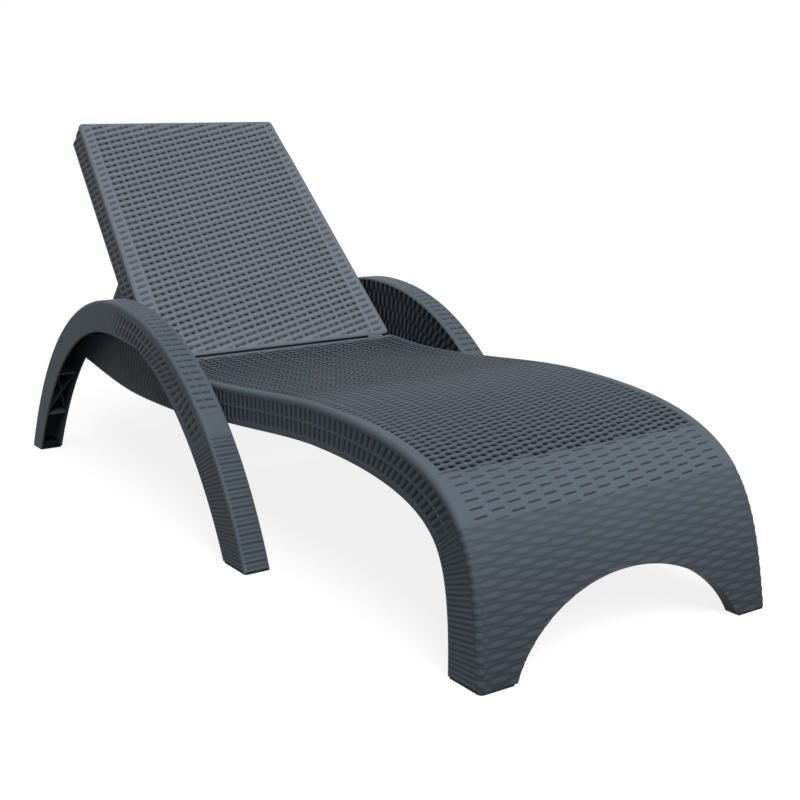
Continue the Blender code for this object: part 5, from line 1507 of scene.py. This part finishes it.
# %% [markdown]
# ## Floor, light and camera
#
# The photo has a white ground, a broad light from above the foot end, and dark sides. A wide
# sun gives the back its written colour, and the deck and the foot end a little less. The
# floor is white paper; for the camera alone it glows a little, so that it clips to white
# while the shadow under the lounger stays. For all other rays it is dark, because the photo
# has no light that comes up from the ground.

# %% Floor and world
FLOOR_GLOW = 0.85
FLOOR_TONES = (0.06, 0.20)  # for all other rays, and for the camera
FLOOR_REACH = 30.0
AMBIENT = 0.15
WHITE = (1, 1, 1, 1)


def camera_only(tree):
    """A value that is 1 for camera, glossy and transmission rays and 0 for the others."""
    path = tree.nodes.new("ShaderNodeLightPath")
    camera, glossy, through = (
        path.outputs[name] for name in ("Is Camera Ray", "Is Glossy Ray", "Is Transmission Ray")
    )
    return math_node(tree, "MAXIMUM", math_node(tree, "MAXIMUM", camera, glossy), through)


def paper():
    """Matt paper that is white, and glows, for the camera alone."""
    material, tree, shader = new_material("white paper")
    seen = camera_only(tree)
    surface = {
        "Base Color": map_range(tree, seen, *FLOOR_TONES),
        "Roughness": 0.9,
        "Specular IOR Level": 0.0,
        "Emission Color": WHITE,
        "Emission Strength": math_node(tree, "MULTIPLY", seen, FLOOR_GLOW),
    }
    feed(tree, shader, surface)
    return material


floor_mesh = bpy.data.meshes.new("floor")
reach = (-FLOOR_REACH, FLOOR_REACH)
corners = [(x, y, 0) for x, y in rectangle(*reach, *reach)]
floor_mesh.from_pydata(corners, [], [(0, 1, 2, 3)])
floor_mesh.materials.append(paper())
floor = add_object("floor", floor_mesh)

world = bpy.data.worlds.new("studio")
bpy.context.scene.world = world
world.use_nodes = True
tree = world.node_tree
strength = map_range(tree, camera_only(tree), AMBIENT, 1.0)
feed(tree, tree.nodes["Background"], {"Color": WHITE, "Strength": strength})
print("Floor glow", FLOOR_GLOW, "and ambient light", AMBIENT)

# %% Lamp and camera
KEY_FROM = Vector((-0.17, -0.60, 0.73))
KEY_POWER, KEY_WIDE = 1.08 * math.pi, 35  # a white face square to it shows 1.08 times white
CAMERA_AT, LENS = (-1.521, -2.4679, 0.9191), 59.87
CAMERA_DOWN, CAMERA_TURN = 12.9217, 34.3626  # degrees below level, and off the long axis

lamp = bpy.data.lights.new("key", "SUN")
lamp.energy, lamp.angle = KEY_POWER, math.radians(KEY_WIDE)
key = add_object("key", lamp)
key.rotation_euler = KEY_FROM.to_track_quat("Z", "Y").to_euler()

lens = bpy.data.cameras.new("camera")
lens.lens, lens.sensor_width = LENS, 36.0
camera = add_object("camera", lens)
camera.location = CAMERA_AT
camera.rotation_euler = (math.radians(90 - CAMERA_DOWN), 0, math.radians(-CAMERA_TURN))
bpy.context.scene.camera = camera
bpy.context.scene.view_settings.view_transform = "Standard"
print("Camera at", np.round(camera.location, 3).tolist())
